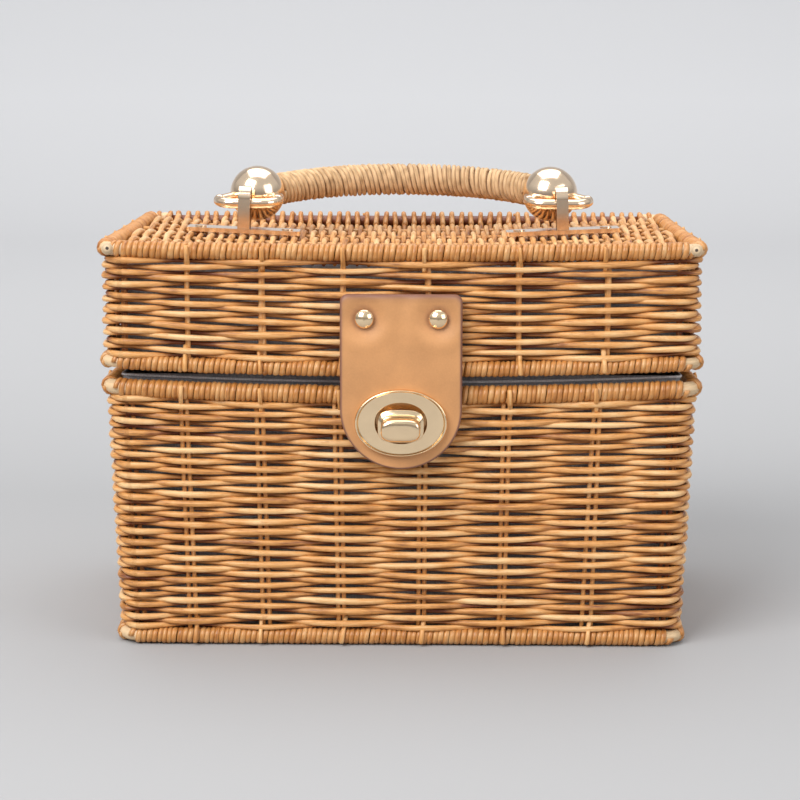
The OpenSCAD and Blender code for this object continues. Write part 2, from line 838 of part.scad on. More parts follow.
module bail() {
    spring = swing_rise + anchor_t;
    color(gold)
        on_anchor()
            rotate([90, 0, 90])
                linear_extrude(bail_w, center = true)
                    difference() {
                        union() {
                            translate([-bail_r, anchor_t])
                                square([2 * bail_r, spring - anchor_t + 2]);
                            translate([0, spring + 2])
                                circle(r = bail_r);
                        }
                        translate([-bail_gap / 2, 0])
                            square([bail_gap, spring + 2]);
                        translate([0, spring + 2])
                            circle(r = bail_gap / 2);
                    }
}

module right_bail() { bail(); }

module left_bail() { mirror([1, 0, 0]) bail(); }

// Height of a backing bar's lower face below the plate, inside the lid
backing_z = -wall_back - rod_peak - 2 * fit - plate_t;

module plate_rivets() {
    color(gold)
        for (m = [0, 1])
            mirror([m, 0, 0])
                on_anchor()
                    for (s = [-1, 1])
                        translate([s * plate_rivet_x, 0, 0])
                            rotate_extrude()
                                union() {
                                    translate([0, backing_z - plate_t])
                                        square([plate_rivet_d / 2, anchor_t - backing_z + plate_t]);
                                    translate([0, backing_z - plate_t])
                                        square([plate_rivet_d / 2 + 1.2, plate_t]);
                                    translate([0, anchor_t])
                                        square([plate_rivet_d / 2 + 0.8, 0.4]);
                                }
}

module plate_backings() {
    color(gold)
        for (m = [0, 1])
            mirror([m, 0, 0])
                on_anchor()
                    translate([0, 0, backing_z])
                        linear_extrude(plate_t)
                            difference() {
                                square([anchor_l - 2, anchor_w - 2], center = true);
                                for (s = [-1, 1])
                                    translate([s * plate_rivet_x, 0])
                                        circle(d = plate_rivet_d + fit);
                            }
}

// Handle, drawn in its own plane: the swing axis is X, the grip lies towards +Y

module in_handle() {
    translate([0, -swing_fwd, swing_z])
        rotate([fold_angle, 0, 0])
            children();
}

// Twine-wrapped grip: rings swept along the arc between the balls, with a ridge at each turn
module handle_grip() {
    sweep = seat_turn - asin(fit / grip_r);
    ridges = round(2 * sweep * PI / 180 * grip_r / twine_pitch);
    rings = 2 * ridges;
    sides = 12;
    function ring_at(i) = -sweep + 2 * sweep * i / rings;
    function ring_r(i) = grip_d / 2 - (i % 2 == 0 ? twine_depth : 0);
    points = [for (i = [0:rings], j = [0:sides - 1])
        let (a = ring_at(i), b = 360 * j / sides, r = grip_r + ring_r(i) * cos(b))
            [r * sin(a), grip_c + r * cos(a), ring_r(i) * sin(b)]];
    skin = [for (i = [0:rings - 1], j = [0:sides - 1]) let (n = (j + 1) % sides) each [
        [i * sides + j, i * sides + n, (i + 1) * sides + n],
        [i * sides + j, (i + 1) * sides + n, (i + 1) * sides + j]]];
    first = [for (j = [0:sides - 1]) sides - 1 - j];
    last = [for (j = [0:sides - 1]) rings * sides + j];
    color(twine)
        in_handle()
            difference() {
                polyhedron(points, concat(skin, [first, last]));
                for (s = [-1, 1])
                    translate([s * ball_x, ball_back, 0])
                        rotate([0, 0, -s * seat_turn])
                            rotate([0, -90 * s, 0])
                                cylinder(d = spigot_d + 2 * fit, h = seat_off + spigot_l + fit);
            }
}

// Ball with its flat seat and spigot for the grip, and the eye that swings in the bail
module ball_end() {
    side_x = eye_w / 2 - eye_d / 2;
    bar = side_x - eye_r;
    color(gold)
        in_handle()
            union() {
                translate([ball_x, ball_back, 0])
                    rotate([0, 0, -seat_turn])
                        rotate([0, -90, 0]) {
                            difference() {
                                sphere(d = ball_d);
                                translate([0, 0, seat_off + ball_d / 2])
                                    cube(ball_d, center = true);
                            }
                            cylinder(d = spigot_d, h = seat_off + spigot_l);
                        }
                translate([ball_x + eye_out, 0, 0]) {
                    rotate([0, 90, 0])
                        cylinder(d = eye_d, h = 2 * bar, center = true);
                    for (s = [-1, 1]) {
                        translate([s * bar, eye_r, 0])
                            rotate([0, 0, s > 0 ? -90 : 180])
                                rotate_extrude(angle = 90)
                                    translate([eye_r, 0])
                                        circle(d = eye_d);
                        let (dx = -s * side_x * 0.4 - eye_out, dy = ball_back - eye_r - 4)
                            translate([s * side_x, eye_r, 0]) {
                                sphere(d = eye_d + 0.6);
                                rotate([0, 0, atan2(dy, dx)])
                                    rotate([0, 90, 0])
                                        cylinder(d = eye_d, h = norm([dx, dy]));
                            }
                    }
                }
            }
}

module right_ball_end() { ball_end(); }

module left_ball_end() { mirror([1, 0, 0]) ball_end(); }

base_floor();
base_front_weave();
base_back_weave();
base_left_weave();
base_right_weave();
base_corner_weave();
base_foot_rim();
base_mouth_rim();
base_lining();
left_hinge_loop();
right_hinge_loop();
lock_plate();
lock_backing();
turn_knob();
lid_top_weave();
lid_front_weave();
lid_back_weave();
lid_left_weave();
lid_right_weave();
lid_corner_weave();
lid_rim();
lid_border();
lid_lining();
left_handle_plate();
right_handle_plate();
left_bail();
right_bail();
plate_rivets();
plate_backings();
clasp_tab();
tab_rivets();
clasp_flap();
eyelet_plate();
eyelet_backing();
handle_grip();
left_ball_end();
right_ball_end();
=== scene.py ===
"""Looks of a woven wicker box bag: rods, rims, lining, clasp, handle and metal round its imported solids."""

import json

import bpy
import numpy as np
from bpy.props import FloatProperty, FloatVectorProperty, IntProperty, PointerProperty
from mathutils import Matrix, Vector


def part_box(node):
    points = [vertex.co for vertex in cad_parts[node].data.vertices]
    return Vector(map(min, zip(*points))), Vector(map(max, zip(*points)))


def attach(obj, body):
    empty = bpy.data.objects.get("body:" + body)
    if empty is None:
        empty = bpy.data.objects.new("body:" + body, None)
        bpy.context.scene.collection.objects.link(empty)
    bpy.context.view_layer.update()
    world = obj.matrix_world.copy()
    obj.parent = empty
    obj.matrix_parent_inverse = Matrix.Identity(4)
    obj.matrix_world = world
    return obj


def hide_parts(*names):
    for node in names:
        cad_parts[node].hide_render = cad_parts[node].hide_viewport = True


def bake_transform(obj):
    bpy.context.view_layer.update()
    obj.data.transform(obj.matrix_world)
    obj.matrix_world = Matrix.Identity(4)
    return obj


bl_info = {
    "name": "Wicker box bag",
    "version": (1, 0, 0),
    "blender": (4, 5, 0),
    "location": "View3D > Sidebar > Wicker Bag",
    "description": "Builds the rods, wound rims, lining, clasp and handle of a box bag round its solids",
    "category": "Object",
}

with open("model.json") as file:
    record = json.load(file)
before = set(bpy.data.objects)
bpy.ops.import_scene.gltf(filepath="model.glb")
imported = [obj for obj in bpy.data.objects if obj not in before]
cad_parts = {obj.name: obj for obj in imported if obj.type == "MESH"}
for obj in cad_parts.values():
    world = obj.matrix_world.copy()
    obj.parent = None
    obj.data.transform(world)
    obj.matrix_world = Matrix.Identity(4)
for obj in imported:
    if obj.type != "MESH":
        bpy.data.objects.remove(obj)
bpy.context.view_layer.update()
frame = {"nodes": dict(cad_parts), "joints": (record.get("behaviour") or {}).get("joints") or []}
MM = 0.001
TAU = 2 * np.pi
EX, EY, EZ = np.eye(3)
JOINTS = {joint["name"]: joint for joint in frame["joints"]}

# Stake columns, as shares of the half length between the corners; the outer ones stand beside the bends
BASE_FRONT_STAKES = (-1.0, -0.80, -0.52, -0.23, 0.08, 0.385, 0.715, 1.0)
LID_FRONT_STAKES = (-1.0, -0.77, -0.50, -0.21, 0.095, 0.42, 0.74, 1.0)
BACK_STAKES = (-1.0, -0.76, -0.46, -0.15, 0.16, 0.47, 0.75, 1.0)
SIDE_STAKES = (-1.0, -0.60, -0.20, 0.21, 0.59, 1.0)
MAT_STAKES = (-0.8, -0.4, 0.0, 0.4, 0.8)
TOP_STAKES = (-0.72, -0.24, 0.24, 0.72)

# Spacing and half thickness of the rods in the floor and the lid's top
MAT_PITCH = 4.1 * MM
MAT_GIRTH = 1.1 * MM
# Length between stations of a path round the walls
STEP = 3 * MM


# Properties


class WeaveSizes(bpy.types.PropertyGroup):
    """Sizes of the woven walls"""

    rod: FloatProperty(
        name="Rod", description="Thickness of a weaving rod", default=2.4 * MM, unit="LENGTH"
    )
    row: FloatProperty(
        name="Row", description="Height of one woven row", default=2.05 * MM, unit="LENGTH"
    )
    wave: FloatProperty(
        name="Wave", description="How far a rod swings out over a stake", default=1.8 * MM, unit="LENGTH"
    )
    stake: FloatProperty(
        name="Stake", description="Thickness of one rod of a stake", default=1.8 * MM, unit="LENGTH"
    )
    stake_gap: FloatProperty(
        name="Stake gap", description="Spacing of a stake's two rods", default=2.5 * MM, unit="LENGTH"
    )
    corner: FloatProperty(
        name="Corner", description="Radius of the walls' corners", default=7.0 * MM, unit="LENGTH"
    )
    sag: FloatProperty(
        name="Sag", description="Sag of the seam at the middle of the front", default=2.4 * MM, unit="LENGTH"
    )
    uneven: FloatProperty(
        name="Unevenness", description="Wander of a rod from its row", default=0.48 * MM, unit="LENGTH"
    )
    sides: IntProperty(name="Sides", description="Faces round a rod", default=7, min=5, max=12)


class TrimSizes(bpy.types.PropertyGroup):
    """Sizes of the rims, the clasp and the handle"""

    wind: FloatProperty(
        name="Winding", description="Width of one turn of peel on a rim", default=2.03 * MM, unit="LENGTH"
    )
    peel: FloatProperty(
        name="Peel", description="Thickness of the peel", default=1.3 * MM, unit="LENGTH"
    )
    twine: FloatProperty(
        name="Twine", description="Thickness of the handle's twine", default=2.1 * MM, unit="LENGTH"
    )
    strands: IntProperty(
        name="Strands", description="Strands of twine wound side by side", default=4, min=1, max=8
    )
    grip: FloatProperty(
        name="Grip", description="Thickness of the wrapped handle", default=13.0 * MM, unit="LENGTH"
    )
    grip_radius: FloatProperty(
        name="Grip arc", description="Radius of the handle's arc", default=73.7 * MM, unit="LENGTH"
    )
    cloth: FloatProperty(
        name="Cloth", description="Thickness of the lining", default=0.8 * MM, unit="LENGTH"
    )


class Finishes(bpy.types.PropertyGroup):
    """Colours of the finishes"""

    wicker: FloatVectorProperty(
        name="Wicker", description="Middle tone of the rods", default=(0.68, 0.31, 0.083),
        subtype="COLOR", min=0, max=1,
    )
    # The dark wicker is also the colour of the painted shade on the rods' sunken parts, the outer stakes and
    # the lid border's core.
    wicker_dark: FloatVectorProperty(
        name="Dark wicker", description="Darkest rods", default=(0.20, 0.050, 0.011),
        subtype="COLOR", min=0, max=1,
    )
    wicker_pale: FloatVectorProperty(
        name="Pale wicker", description="Palest rods", default=(0.86, 0.56, 0.27),
        subtype="COLOR", min=0, max=1,
    )
    cane: FloatVectorProperty(
        name="Bare cane", description="Peeled core rods", default=(0.74, 0.52, 0.295),
        subtype="COLOR", min=0, max=1,
    )
    leather: FloatVectorProperty(
        name="Leather", description="Tan of the clasp", default=(0.585, 0.285, 0.115),
        subtype="COLOR", min=0, max=1,
    )
    gold: FloatVectorProperty(
        name="Gold", description="Plating of the metal parts", default=(0.98, 0.745, 0.475),
        subtype="COLOR", min=0, max=1,
    )
    twine: FloatVectorProperty(
        name="Twine", description="Straw of the handle", default=(0.67, 0.44, 0.232),
        subtype="COLOR", min=0, max=1,
    )
    lining: FloatVectorProperty(
        name="Lining", description="Grey cloth inside", default=(0.27, 0.272, 0.285),
        subtype="COLOR", min=0, max=1,
    )
    floor: FloatVectorProperty(
        name="Floor", description="Floor and backdrop", default=(0.385, 0.385, 0.39),
        subtype="COLOR", min=0, max=1,
    )


# Mesh helpers


def merge(parts):
    """Joins meshes given as (points, faces, attributes), shifting each one's face numbers past the last."""
    points, faces, marks, start = [], [], {}, 0
    for part_points, part_faces, part_marks in parts:
        points.append(part_points)
        faces += [f + start for f in part_faces]
        for key, value in part_marks.items():
            marks.setdefault(key, []).append(value)
        start += len(part_points)
    return np.concatenate(points), faces, {k: np.concatenate(v) for k, v in marks.items()}


def put_mesh(name, parts, material, body=None, nodes=()):
    """Makes one smooth object of the parts with their attributes, on a body and in place of its nodes."""
    points, faces, marks = merge(parts)
    corners = np.concatenate([f.ravel() for f in faces]).astype(np.int32)
    counts = np.concatenate([np.full(len(f), f.shape[1]) for f in faces])
    mesh = bpy.data.meshes.new(name)
    mesh.vertices.add(len(points))
    mesh.vertices.foreach_set("co", points.astype(np.float32).ravel())
    mesh.loops.add(len(corners))
    mesh.loops.foreach_set("vertex_index", corners)
    mesh.polygons.add(len(counts))
    mesh.polygons.foreach_set("loop_start", (np.cumsum(counts) - counts).astype(np.int32))
    mesh.polygons.foreach_set("use_smooth", np.ones(len(counts), bool))
    mesh.update(calc_edges=True)
    mesh.validate()
    for key, value in marks.items():
        kind, field = ("FLOAT_VECTOR", "vector") if value.ndim == 2 else ("FLOAT", "value")
        mesh.attributes.new(key, kind, "POINT").data.foreach_set(field, value.astype(np.float32).ravel())
    mesh.materials.append(material)
    piece = bpy.data.objects.new(name, mesh)
    bpy.context.scene.collection.objects.link(piece)
    if body:
        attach(piece, body)
    if nodes:
        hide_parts(*nodes)
    return piece


def unit(v):
    """Vectors scaled to length one."""
    return v / np.maximum(np.linalg.norm(v, axis=-1, keepdims=True), 1e-12)


def between(values, marks, places):
    """Vectors given at marks along a line, read at places between them."""
    return np.stack([np.interp(places, marks, values[:, k]) for k in range(3)], -1)


def along_wall(out):
    """Level directions along a wall, a quarter turn from its outward ones."""
    return np.stack([-out[:, 1], out[:, 0], 0 * out[:, 0]], -1)


def tubes(path, out, side, thick_out, thick_side, sides, tint, shift=0.0, closed=False):
    """Rods swept along paths (rods, stations, 3): each ring is path + out*a*cos(t) + side*b*sin(t).
    Marks: "rod" is the place in the straightened rod, length then ring, and "tint" its shade."""
    rods, stations = path.shape[:2]
    shape = (rods, stations)
    turn = np.arange(sides) * TAU / sides
    a = np.broadcast_to(thick_out, shape)[..., None, None] * np.cos(turn)[:, None]
    b = np.broadcast_to(thick_side, shape)[..., None, None] * np.sin(turn)[:, None]
    out, side = np.broadcast_to(out, path.shape), np.broadcast_to(side, path.shape)
    points = path[:, :, None] + a * out[:, :, None] + b * side[:, :, None]
    steps = np.linalg.norm(np.diff(path, axis=1), axis=2)
    length = np.concatenate([np.zeros((rods, 1)), np.cumsum(steps, 1)], 1)
    length = length + shift + 0.731 * np.arange(rods)[:, None]
    marks = np.concatenate([np.broadcast_to(length[..., None, None], a.shape), a, b], -1)
    shades = np.broadcast_to(np.broadcast_to(tint, shape)[..., None], (*shape, sides))
    i = np.arange(stations if closed else stations - 1)[:, None]
    j = np.arange(sides)[None, :]
    at = lambda m, k: (m % stations) * sides + k % sides
    quads = np.stack([at(i, j), at(i, j + 1), at(i + 1, j + 1), at(i + 1, j)], -1).reshape(-1, 4)
    caps = np.stack([np.arange(sides)[::-1], (stations - 1) * sides + np.arange(sides)])
    ahead = path[:, 1:] - path[:, :-1]
    if (np.cross(out, side)[:, :-1] * ahead).sum() < 0:
        quads, caps = quads[:, ::-1], caps[:, ::-1]
    first = (np.arange(rods) * stations * sides)[:, None, None]
    faces = [(quads + first).reshape(-1, 4)]
    if not closed:
        faces.append((caps + first).reshape(-1, sides))
    return points.reshape(-1, 3), faces, {"rod": marks.reshape(-1, 3), "tint": shades.ravel()}


def grid(points, wrap_u, wrap_v, tint=0.5):
    """A sheet of quads over an array of points (u, v, 3), joined end to end where it wraps."""
    nu, nv = points.shape[:2]
    i = np.arange(nu if wrap_u else nu - 1)[:, None]
    j = np.arange(nv if wrap_v else nv - 1)[None, :]
    at = lambda m, k: (m % nu) * nv + k % nv
    quads = np.stack([at(i, j), at(i + 1, j), at(i + 1, j + 1), at(i, j + 1)], -1).reshape(-1, 4)
    flat = points.reshape(-1, 3)
    return flat, [quads], {"rod": flat.copy(), "tint": np.full(len(flat), tint)}


def smooth_noise(rng, shape, turns, waves=4):
    """Sums of sines of whole turns with seeded phases, about one high; turns is the angle along a row."""
    total = np.zeros((*shape, len(turns)))
    for count in range(2, 2 + 3 * waves, 3):
        start = rng.uniform(0, TAU, shape)[..., None]
        height = rng.uniform(0.4, 1.0, shape)[..., None]
        total += height * np.sin(count * turns + start) / np.sqrt(waves)
    return total


# Shapes shared by the walls and rims


def rim_of(node):
    """Half width, half depth and height of a rim's middle line, and its thickness, from its solid."""
    low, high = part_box(node)
    thick = high.z - low.z
    return (high.x - low.x - thick) / 2, (high.y - low.y - thick) / 2, (high.z + low.z) / 2, thick


class Loop:
    """Stations round a rounded rectangle: shares cx, cy of the straight half lengths and outward directions.
    "low" says how far the station sags, and "near" is one at the ends of the left and right sides."""

    def __init__(self, half_x, half_y, corner, step, arc=8):
        nx = round(2 * (half_x - corner) / step)
        ny = round(2 * (half_y - corner) / step)
        run = [np.linspace(-1, 1, n, endpoint=False) for n in (nx, ny)]
        bend = np.linspace(0, 90, arc, endpoint=False)
        one = [np.ones(nx), np.ones(ny), np.ones(arc)]
        self.cx = np.concatenate([run[0], one[2], one[1], one[2], -run[0], -one[2], -one[1], -one[2]])
        self.cy = np.concatenate([-one[0], -one[2], run[1], one[2], one[0], one[2], -run[1], -one[2]])
        sides = (0 * one[0], 0 * one[1], 0 * one[0], 0 * one[1])
        facing = [turn + 90 * k for k, side in enumerate(sides, -1) for turn in (side, bend)]
        angle = np.radians(np.concatenate(facing))
        self.corner = corner
        self.out = np.stack([np.cos(angle), np.sin(angle), 0 * angle], -1)
        flat = self.at(half_x, half_y, 0 * angle)
        steps = np.linalg.norm(np.roll(flat, -1, 0) - flat, axis=1)
        self.turns = TAU * (np.cumsum(steps) - steps) / steps.sum()
        self.starts = np.cumsum([0, nx, arc, ny, arc, nx, arc, ny])
        front_low = np.where(self.cy < 0, 1 - self.cx**2, 0)
        self.low = front_low + 0.4 * (1 - self.cy**2)
        self.near = np.abs(self.out[:, 0]) * np.clip((np.abs(self.cy) - 0.8) / 0.2, 0, 1)

    def at(self, half_x, half_y, z):
        """Points of the loop at half sizes and heights, which may be arrays over rows."""
        x = self.cx * (half_x - self.corner) + self.corner * self.out[:, 0]
        y = self.cy * (half_y - self.corner) + self.corner * self.out[:, 1]
        return np.stack(np.broadcast_arrays(x, y, z), -1)

    def stakes(self, front):
        """Station numbers of every stake in order round the loop; the outer ones stand beside the bends."""
        ends = np.append(self.starts, len(self.cx))
        walls = (front, SIDE_STAKES, BACK_STAKES, SIDE_STAKES)
        found = []
        for part, shares in zip((0, 2, 4, 6), walls):
            found.append(ends[part] + (np.array(shares) + 1) / 2 * (ends[part + 1] - ends[part]))
        outer = np.concatenate([np.abs(shares) == 1 for shares in walls])
        return np.concatenate(found), outer


def rim_sag(weave, z, loop_low):
    """Sag of the front and sides: greatest at the seam, none at the foot and less at the lid's top."""
    _, _, foot, _ = rim_of("base_foot_rim")
    _, _, mouth, _ = rim_of("base_mouth_rim")
    _, _, border, _ = rim_of("lid_border")
    share = np.interp(z, [foot, mouth, mouth + 12 * MM, border], [0.0, 1.0, 1.0, 0.45])
    return weave.sag * share * loop_low


# Materials


def add(tree, kind, inputs=None, **settings):
    """Adds a shader node, sets its settings, and links or sets its inputs."""
    made = tree.nodes.new("ShaderNode" + kind)
    for key, value in settings.items():
        setattr(made, key, value)
    for key, value in (inputs or {}).items():
        if isinstance(value, bpy.types.NodeSocket):
            tree.links.new(value, made.inputs[key])
        else:
            made.inputs[key].default_value = value
    return made


def ramp(tree, factor, stops):
    """A colour ramp over (place, colour) stops."""
    made = add(tree, "ValToRGB", {"Fac": factor})
    while len(made.color_ramp.elements) < len(stops):
        made.color_ramp.elements.new(0.5)
    for element, (place, colour) in zip(made.color_ramp.elements, stops):
        element.position = place
        element.color = (*colour, 1)
    return made.outputs["Color"]


def start_material(name, **sockets):
    """A material with one principled shader whose plain sockets are set directly."""
    made = bpy.data.materials.new(name)
    made.use_nodes = True
    tree = made.node_tree
    shader = tree.nodes["Principled BSDF"]
    for key, value in sockets.items():
        shader.inputs[key.replace("_", " ")].default_value = value
    return made, tree, shader


def stretched(tree, source, scale, detail=3.0, roughness=0.55):
    """Noise over a vector stretched by a scale on each axis."""
    spread = add(tree, "Mapping", {"Vector": source, "Scale": scale}).outputs["Vector"]
    values = {"Vector": spread, "Scale": 1.0, "Detail": detail, "Roughness": roughness}
    return add(tree, "TexNoise", values).outputs["Fac"]


def scaled(colour, *factors):
    """A colour times one factor, or one for each channel, up to one."""
    return tuple(min(1, c * k) for c, k in zip(colour, factors * (3 // len(factors))))


def paint(tree, shader, colour):
    """Links a colour to the shader."""
    tree.links.new(colour, shader.inputs["Base Color"])


def emboss(tree, shader, height, strength, distance):
    """Links a height to the shader as fine relief."""
    relief = add(tree, "Bump", {"Height": height, "Strength": strength, "Distance": distance})
    tree.links.new(relief.outputs["Normal"], shader.inputs["Normal"])


def mark(tree, name, output="Fac"):
    """One of the marks that a mesh carries."""
    return add(tree, "Attribute", attribute_name=name).outputs[output]


def mixed(tree, factor, first, second, blend="MIX"):
    """Two colours mixed by a factor."""
    made = add(tree, "Mix", data_type="RGBA", blend_type=blend)
    sockets = {s.identifier: s for s in made.inputs}
    for key, value in (("Factor_Float", factor), ("A_Color", first), ("B_Color", second)):
        if isinstance(value, bpy.types.NodeSocket):
            tree.links.new(value, sockets[key])
        else:
            sockets[key].default_value = value
    return next(s for s in made.outputs if s.identifier == "Result_Color")


def total(tree, *terms):
    """Sum of (value, weight) terms, where a value of one makes a constant."""
    result = 0.0
    for value, weight in terms:
        made = add(tree, "Math", {0: value, 1: weight, 2: result}, operation="MULTIPLY_ADD")
        result = made.outputs[0]
    return result


def rod_material(name, dark, middle, pale, rough=0.41, bump=0.9):
    """Satin rods: the colour follows each rod's tint mark, its own tone plus painted shade and light, with
    long streaks of grain and darker scuffs.
    """
    made, tree, shader = start_material(name, Roughness=rough, Specular_IOR_Level=0.62)
    place = mark(tree, "rod", "Vector")
    # The tint mark holds each rod's own tone plus painted shade and light.
    tint = mark(tree, "tint")
    streak = stretched(tree, place, (110, 1900, 1900), 5.0, roughness=0.72)
    patch = stretched(tree, place, (110, 320, 320), 3.0)
    shade = total(tree, (tint, 0.55), (streak, 1.15), (patch, 0.75), (1.0, -0.73))
    colour = ramp(tree, shade, [(0.08, dark), (0.48, middle), (0.92, pale)])
    fleck = stretched(tree, place, (240, 700, 700), 2.0)
    scuff = ramp(tree, fleck, [(0.60, (1, 1, 1)), (0.78, (0.62, 0.5, 0.42))])
    paint(tree, shader, mixed(tree, 0.8, colour, scuff, "MULTIPLY"))
    emboss(tree, shader, streak, bump, 0.25 * MM)
    return made


def solid_wood_material(name, colour, dark):
    """Bare cane on a solid: fine fibres along Z on Object coordinates."""
    made, tree, shader = start_material(name, Roughness=0.5)
    place = add(tree, "TexCoord").outputs["Object"]
    fibre = stretched(tree, place, (900, 900, 60), 4.0)
    paint(tree, shader, ramp(tree, fibre, [(0.25, dark), (0.7, colour)]))
    emboss(tree, shader, fibre, 0.3, 0.2 * MM)
    return made


def end_grain_material(name, colour):
    """Cut end of a rod: a dark pith, then rings, by the distance from the rod's middle."""
    made, tree, shader = start_material(name, Roughness=0.62)
    place = mark(tree, "rod", "Vector")
    flat = add(tree, "VectorMath", {0: place, 1: (0, 1, 1)}, operation="MULTIPLY").outputs["Vector"]
    away = add(tree, "VectorMath", {0: flat}, operation="LENGTH").outputs["Value"]
    fibre = stretched(tree, place, (300, 2500, 2500), 3.0)
    reach = total(tree, (away, 300.0), (fibre, 0.12))
    pith = (0.05, 0.03, 0.02)
    year = scaled(colour, 0.78)
    stops = [(0.0, pith), (0.21, pith), (0.28, colour), (0.55, year), (0.7, colour), (0.98, year)]
    paint(tree, shader, ramp(tree, reach, stops))
    return made


def metal_material(name, colour, rough):
    """Polished plating with faint cloudy wear in its gloss."""
    made, tree, shader = start_material(name, Metallic=1.0)
    place = add(tree, "TexCoord").outputs["Object"]
    cloud = stretched(tree, place, (160, 160, 160), 3.0)
    paint(tree, shader, ramp(tree, cloud, [(0.3, scaled(colour, 0.93)), (0.7, colour)]))
    hair = stretched(tree, place, (300, 300, 2200), 2.0)
    gloss = add(tree, "MapRange", {"Value": hair, "To Min": rough * 0.75, "To Max": rough * 1.3})
    tree.links.new(gloss.outputs["Result"], shader.inputs["Roughness"])
    return made


def leather_material(name, colour):
    """Smooth tan leather: fine pebble, soft mottling, and by the "tint" mark darker burnished edges and a
    painted shadow ring round each rivet.
    """
    made, tree, shader = start_material(name, Roughness=0.5, Specular_IOR_Level=0.4)
    place = add(tree, "TexCoord").outputs["Object"]
    mottle = stretched(tree, place, (55, 55, 55), 4.0)
    pores = stretched(tree, place, (1500, 1500, 1500), 3.0)
    dark, pale = scaled(colour, 0.86), scaled(colour, 1.12)
    body = ramp(tree, total(tree, (mottle, 0.8), (pores, 0.2)), [(0.32, dark), (0.68, pale)])
    # The tint mark darkens the burnished edges and also paints a shadow ring round each rivet.
    edge = mark(tree, "tint")
    edge_and_shadow_tone = scaled(colour, 0.42, 0.40, 0.66)
    paint(tree, shader, mixed(tree, edge, body, (*edge_and_shadow_tone, 1)))
    cells = add(tree, "TexVoronoi", {"Vector": place, "Scale": 1300.0}, feature="SMOOTH_F1")
    height = total(tree, (cells.outputs["Distance"], 0.6), (pores, 0.5))
    emboss(tree, shader, height, 0.18, 0.2 * MM)
    return made


def twine_material(name, colour):
    """Twisted straw: yarns spiral round each turn of twine, with loose fibres and pale and dark straws."""
    made, tree, shader = start_material(name, Roughness=0.8, Sheen_Weight=0.15)
    place = mark(tree, "rod", "Vector")
    tint = mark(tree, "tint")
    fibre = stretched(tree, place, (260, 2600, 2600), 4.0)
    cloud = stretched(tree, place, (60, 300, 300), 2.0)
    dark, pale = scaled(colour, 0.48, 0.40, 0.31), scaled(colour, 1.3, 1.38, 1.5)
    shade = total(tree, (fibre, 0.7), (tint, 0.35), (cloud, 0.4), (1.0, -0.25))
    paint(tree, shader, ramp(tree, shade, [(0.2, dark), (0.5, colour), (0.85, pale)]))
    emboss(tree, shader, fibre, 0.9, 0.5 * MM)
    return made


def cloth_material(name, colour):
    """Plain-woven cloth: fine threads that run three ways on Object coordinates, with a little sheen."""
    made, tree, shader = start_material(name, Roughness=0.82, Sheen_Weight=0.2)
    place = add(tree, "TexCoord").outputs["Object"]
    ways = ((250, 2600, 2600), (2600, 250, 2600), (2600, 2600, 250))
    threads = total(tree, *((stretched(tree, place, way, 2.0), 0.33) for way in ways))
    dark, pale = scaled(colour, 0.7), scaled(colour, 1.35)
    paint(tree, shader, ramp(tree, threads, [(0.4, dark), (0.6, pale)]))
    emboss(tree, shader, threads, 0.4, 0.2 * MM)
    return made


def finish_named(name):
    """One of the bag's materials, made the first time that it is asked for."""
    if name in bpy.data.materials:
        return bpy.data.materials[name]
    colours = bpy.context.scene.bag_finishes
    wicker, dark, pale = (tuple(c) for c in (colours.wicker, colours.wicker_dark, colours.wicker_pale))
    cane, gold, lining = (tuple(c) for c in (colours.cane, colours.gold, colours.lining))
    peel = (0.80, 0.72, 0.63)
    makers = {
        "willow rods": (rod_material, dark, wicker, pale),
        "wound peel": (rod_material, dark, scaled(wicker, *peel), scaled(pale, *peel), 0.34, 0.5),
        "bare cane": (rod_material, scaled(cane, 0.62), cane, scaled(cane, 1.12), 0.5),
        "cane solid": (solid_wood_material, cane, scaled(cane, 0.6)),
        "end grain": (end_grain_material, scaled(cane, 0.95, 1.0, 1.1)),
        "pale gold": (metal_material, gold, 0.16),
        # A darker, warmer copy of the gold: painted shade for the lock plate seen deep in the hole of the
        # lock.
        "amber gold": (metal_material, scaled(gold, 0.55, 0.42, 0.32), 0.2),
        "rose gold": (metal_material, scaled(gold, 1.02, 1.04, 1.17), 0.16),
        "tan leather": (leather_material, tuple(colours.leather)),
        "straw twine": (twine_material, tuple(colours.twine)),
        "grey lining": (cloth_material, lining),
        # The lining's grey made near white: a painted sheen that lights the piping in the seam's shade.
        "silver piping": (cloth_material, scaled(lining, 3.3)),
    }
    maker, *values = makers[name]
    return maker(name, *values)


# Builders of the woven walls and rims


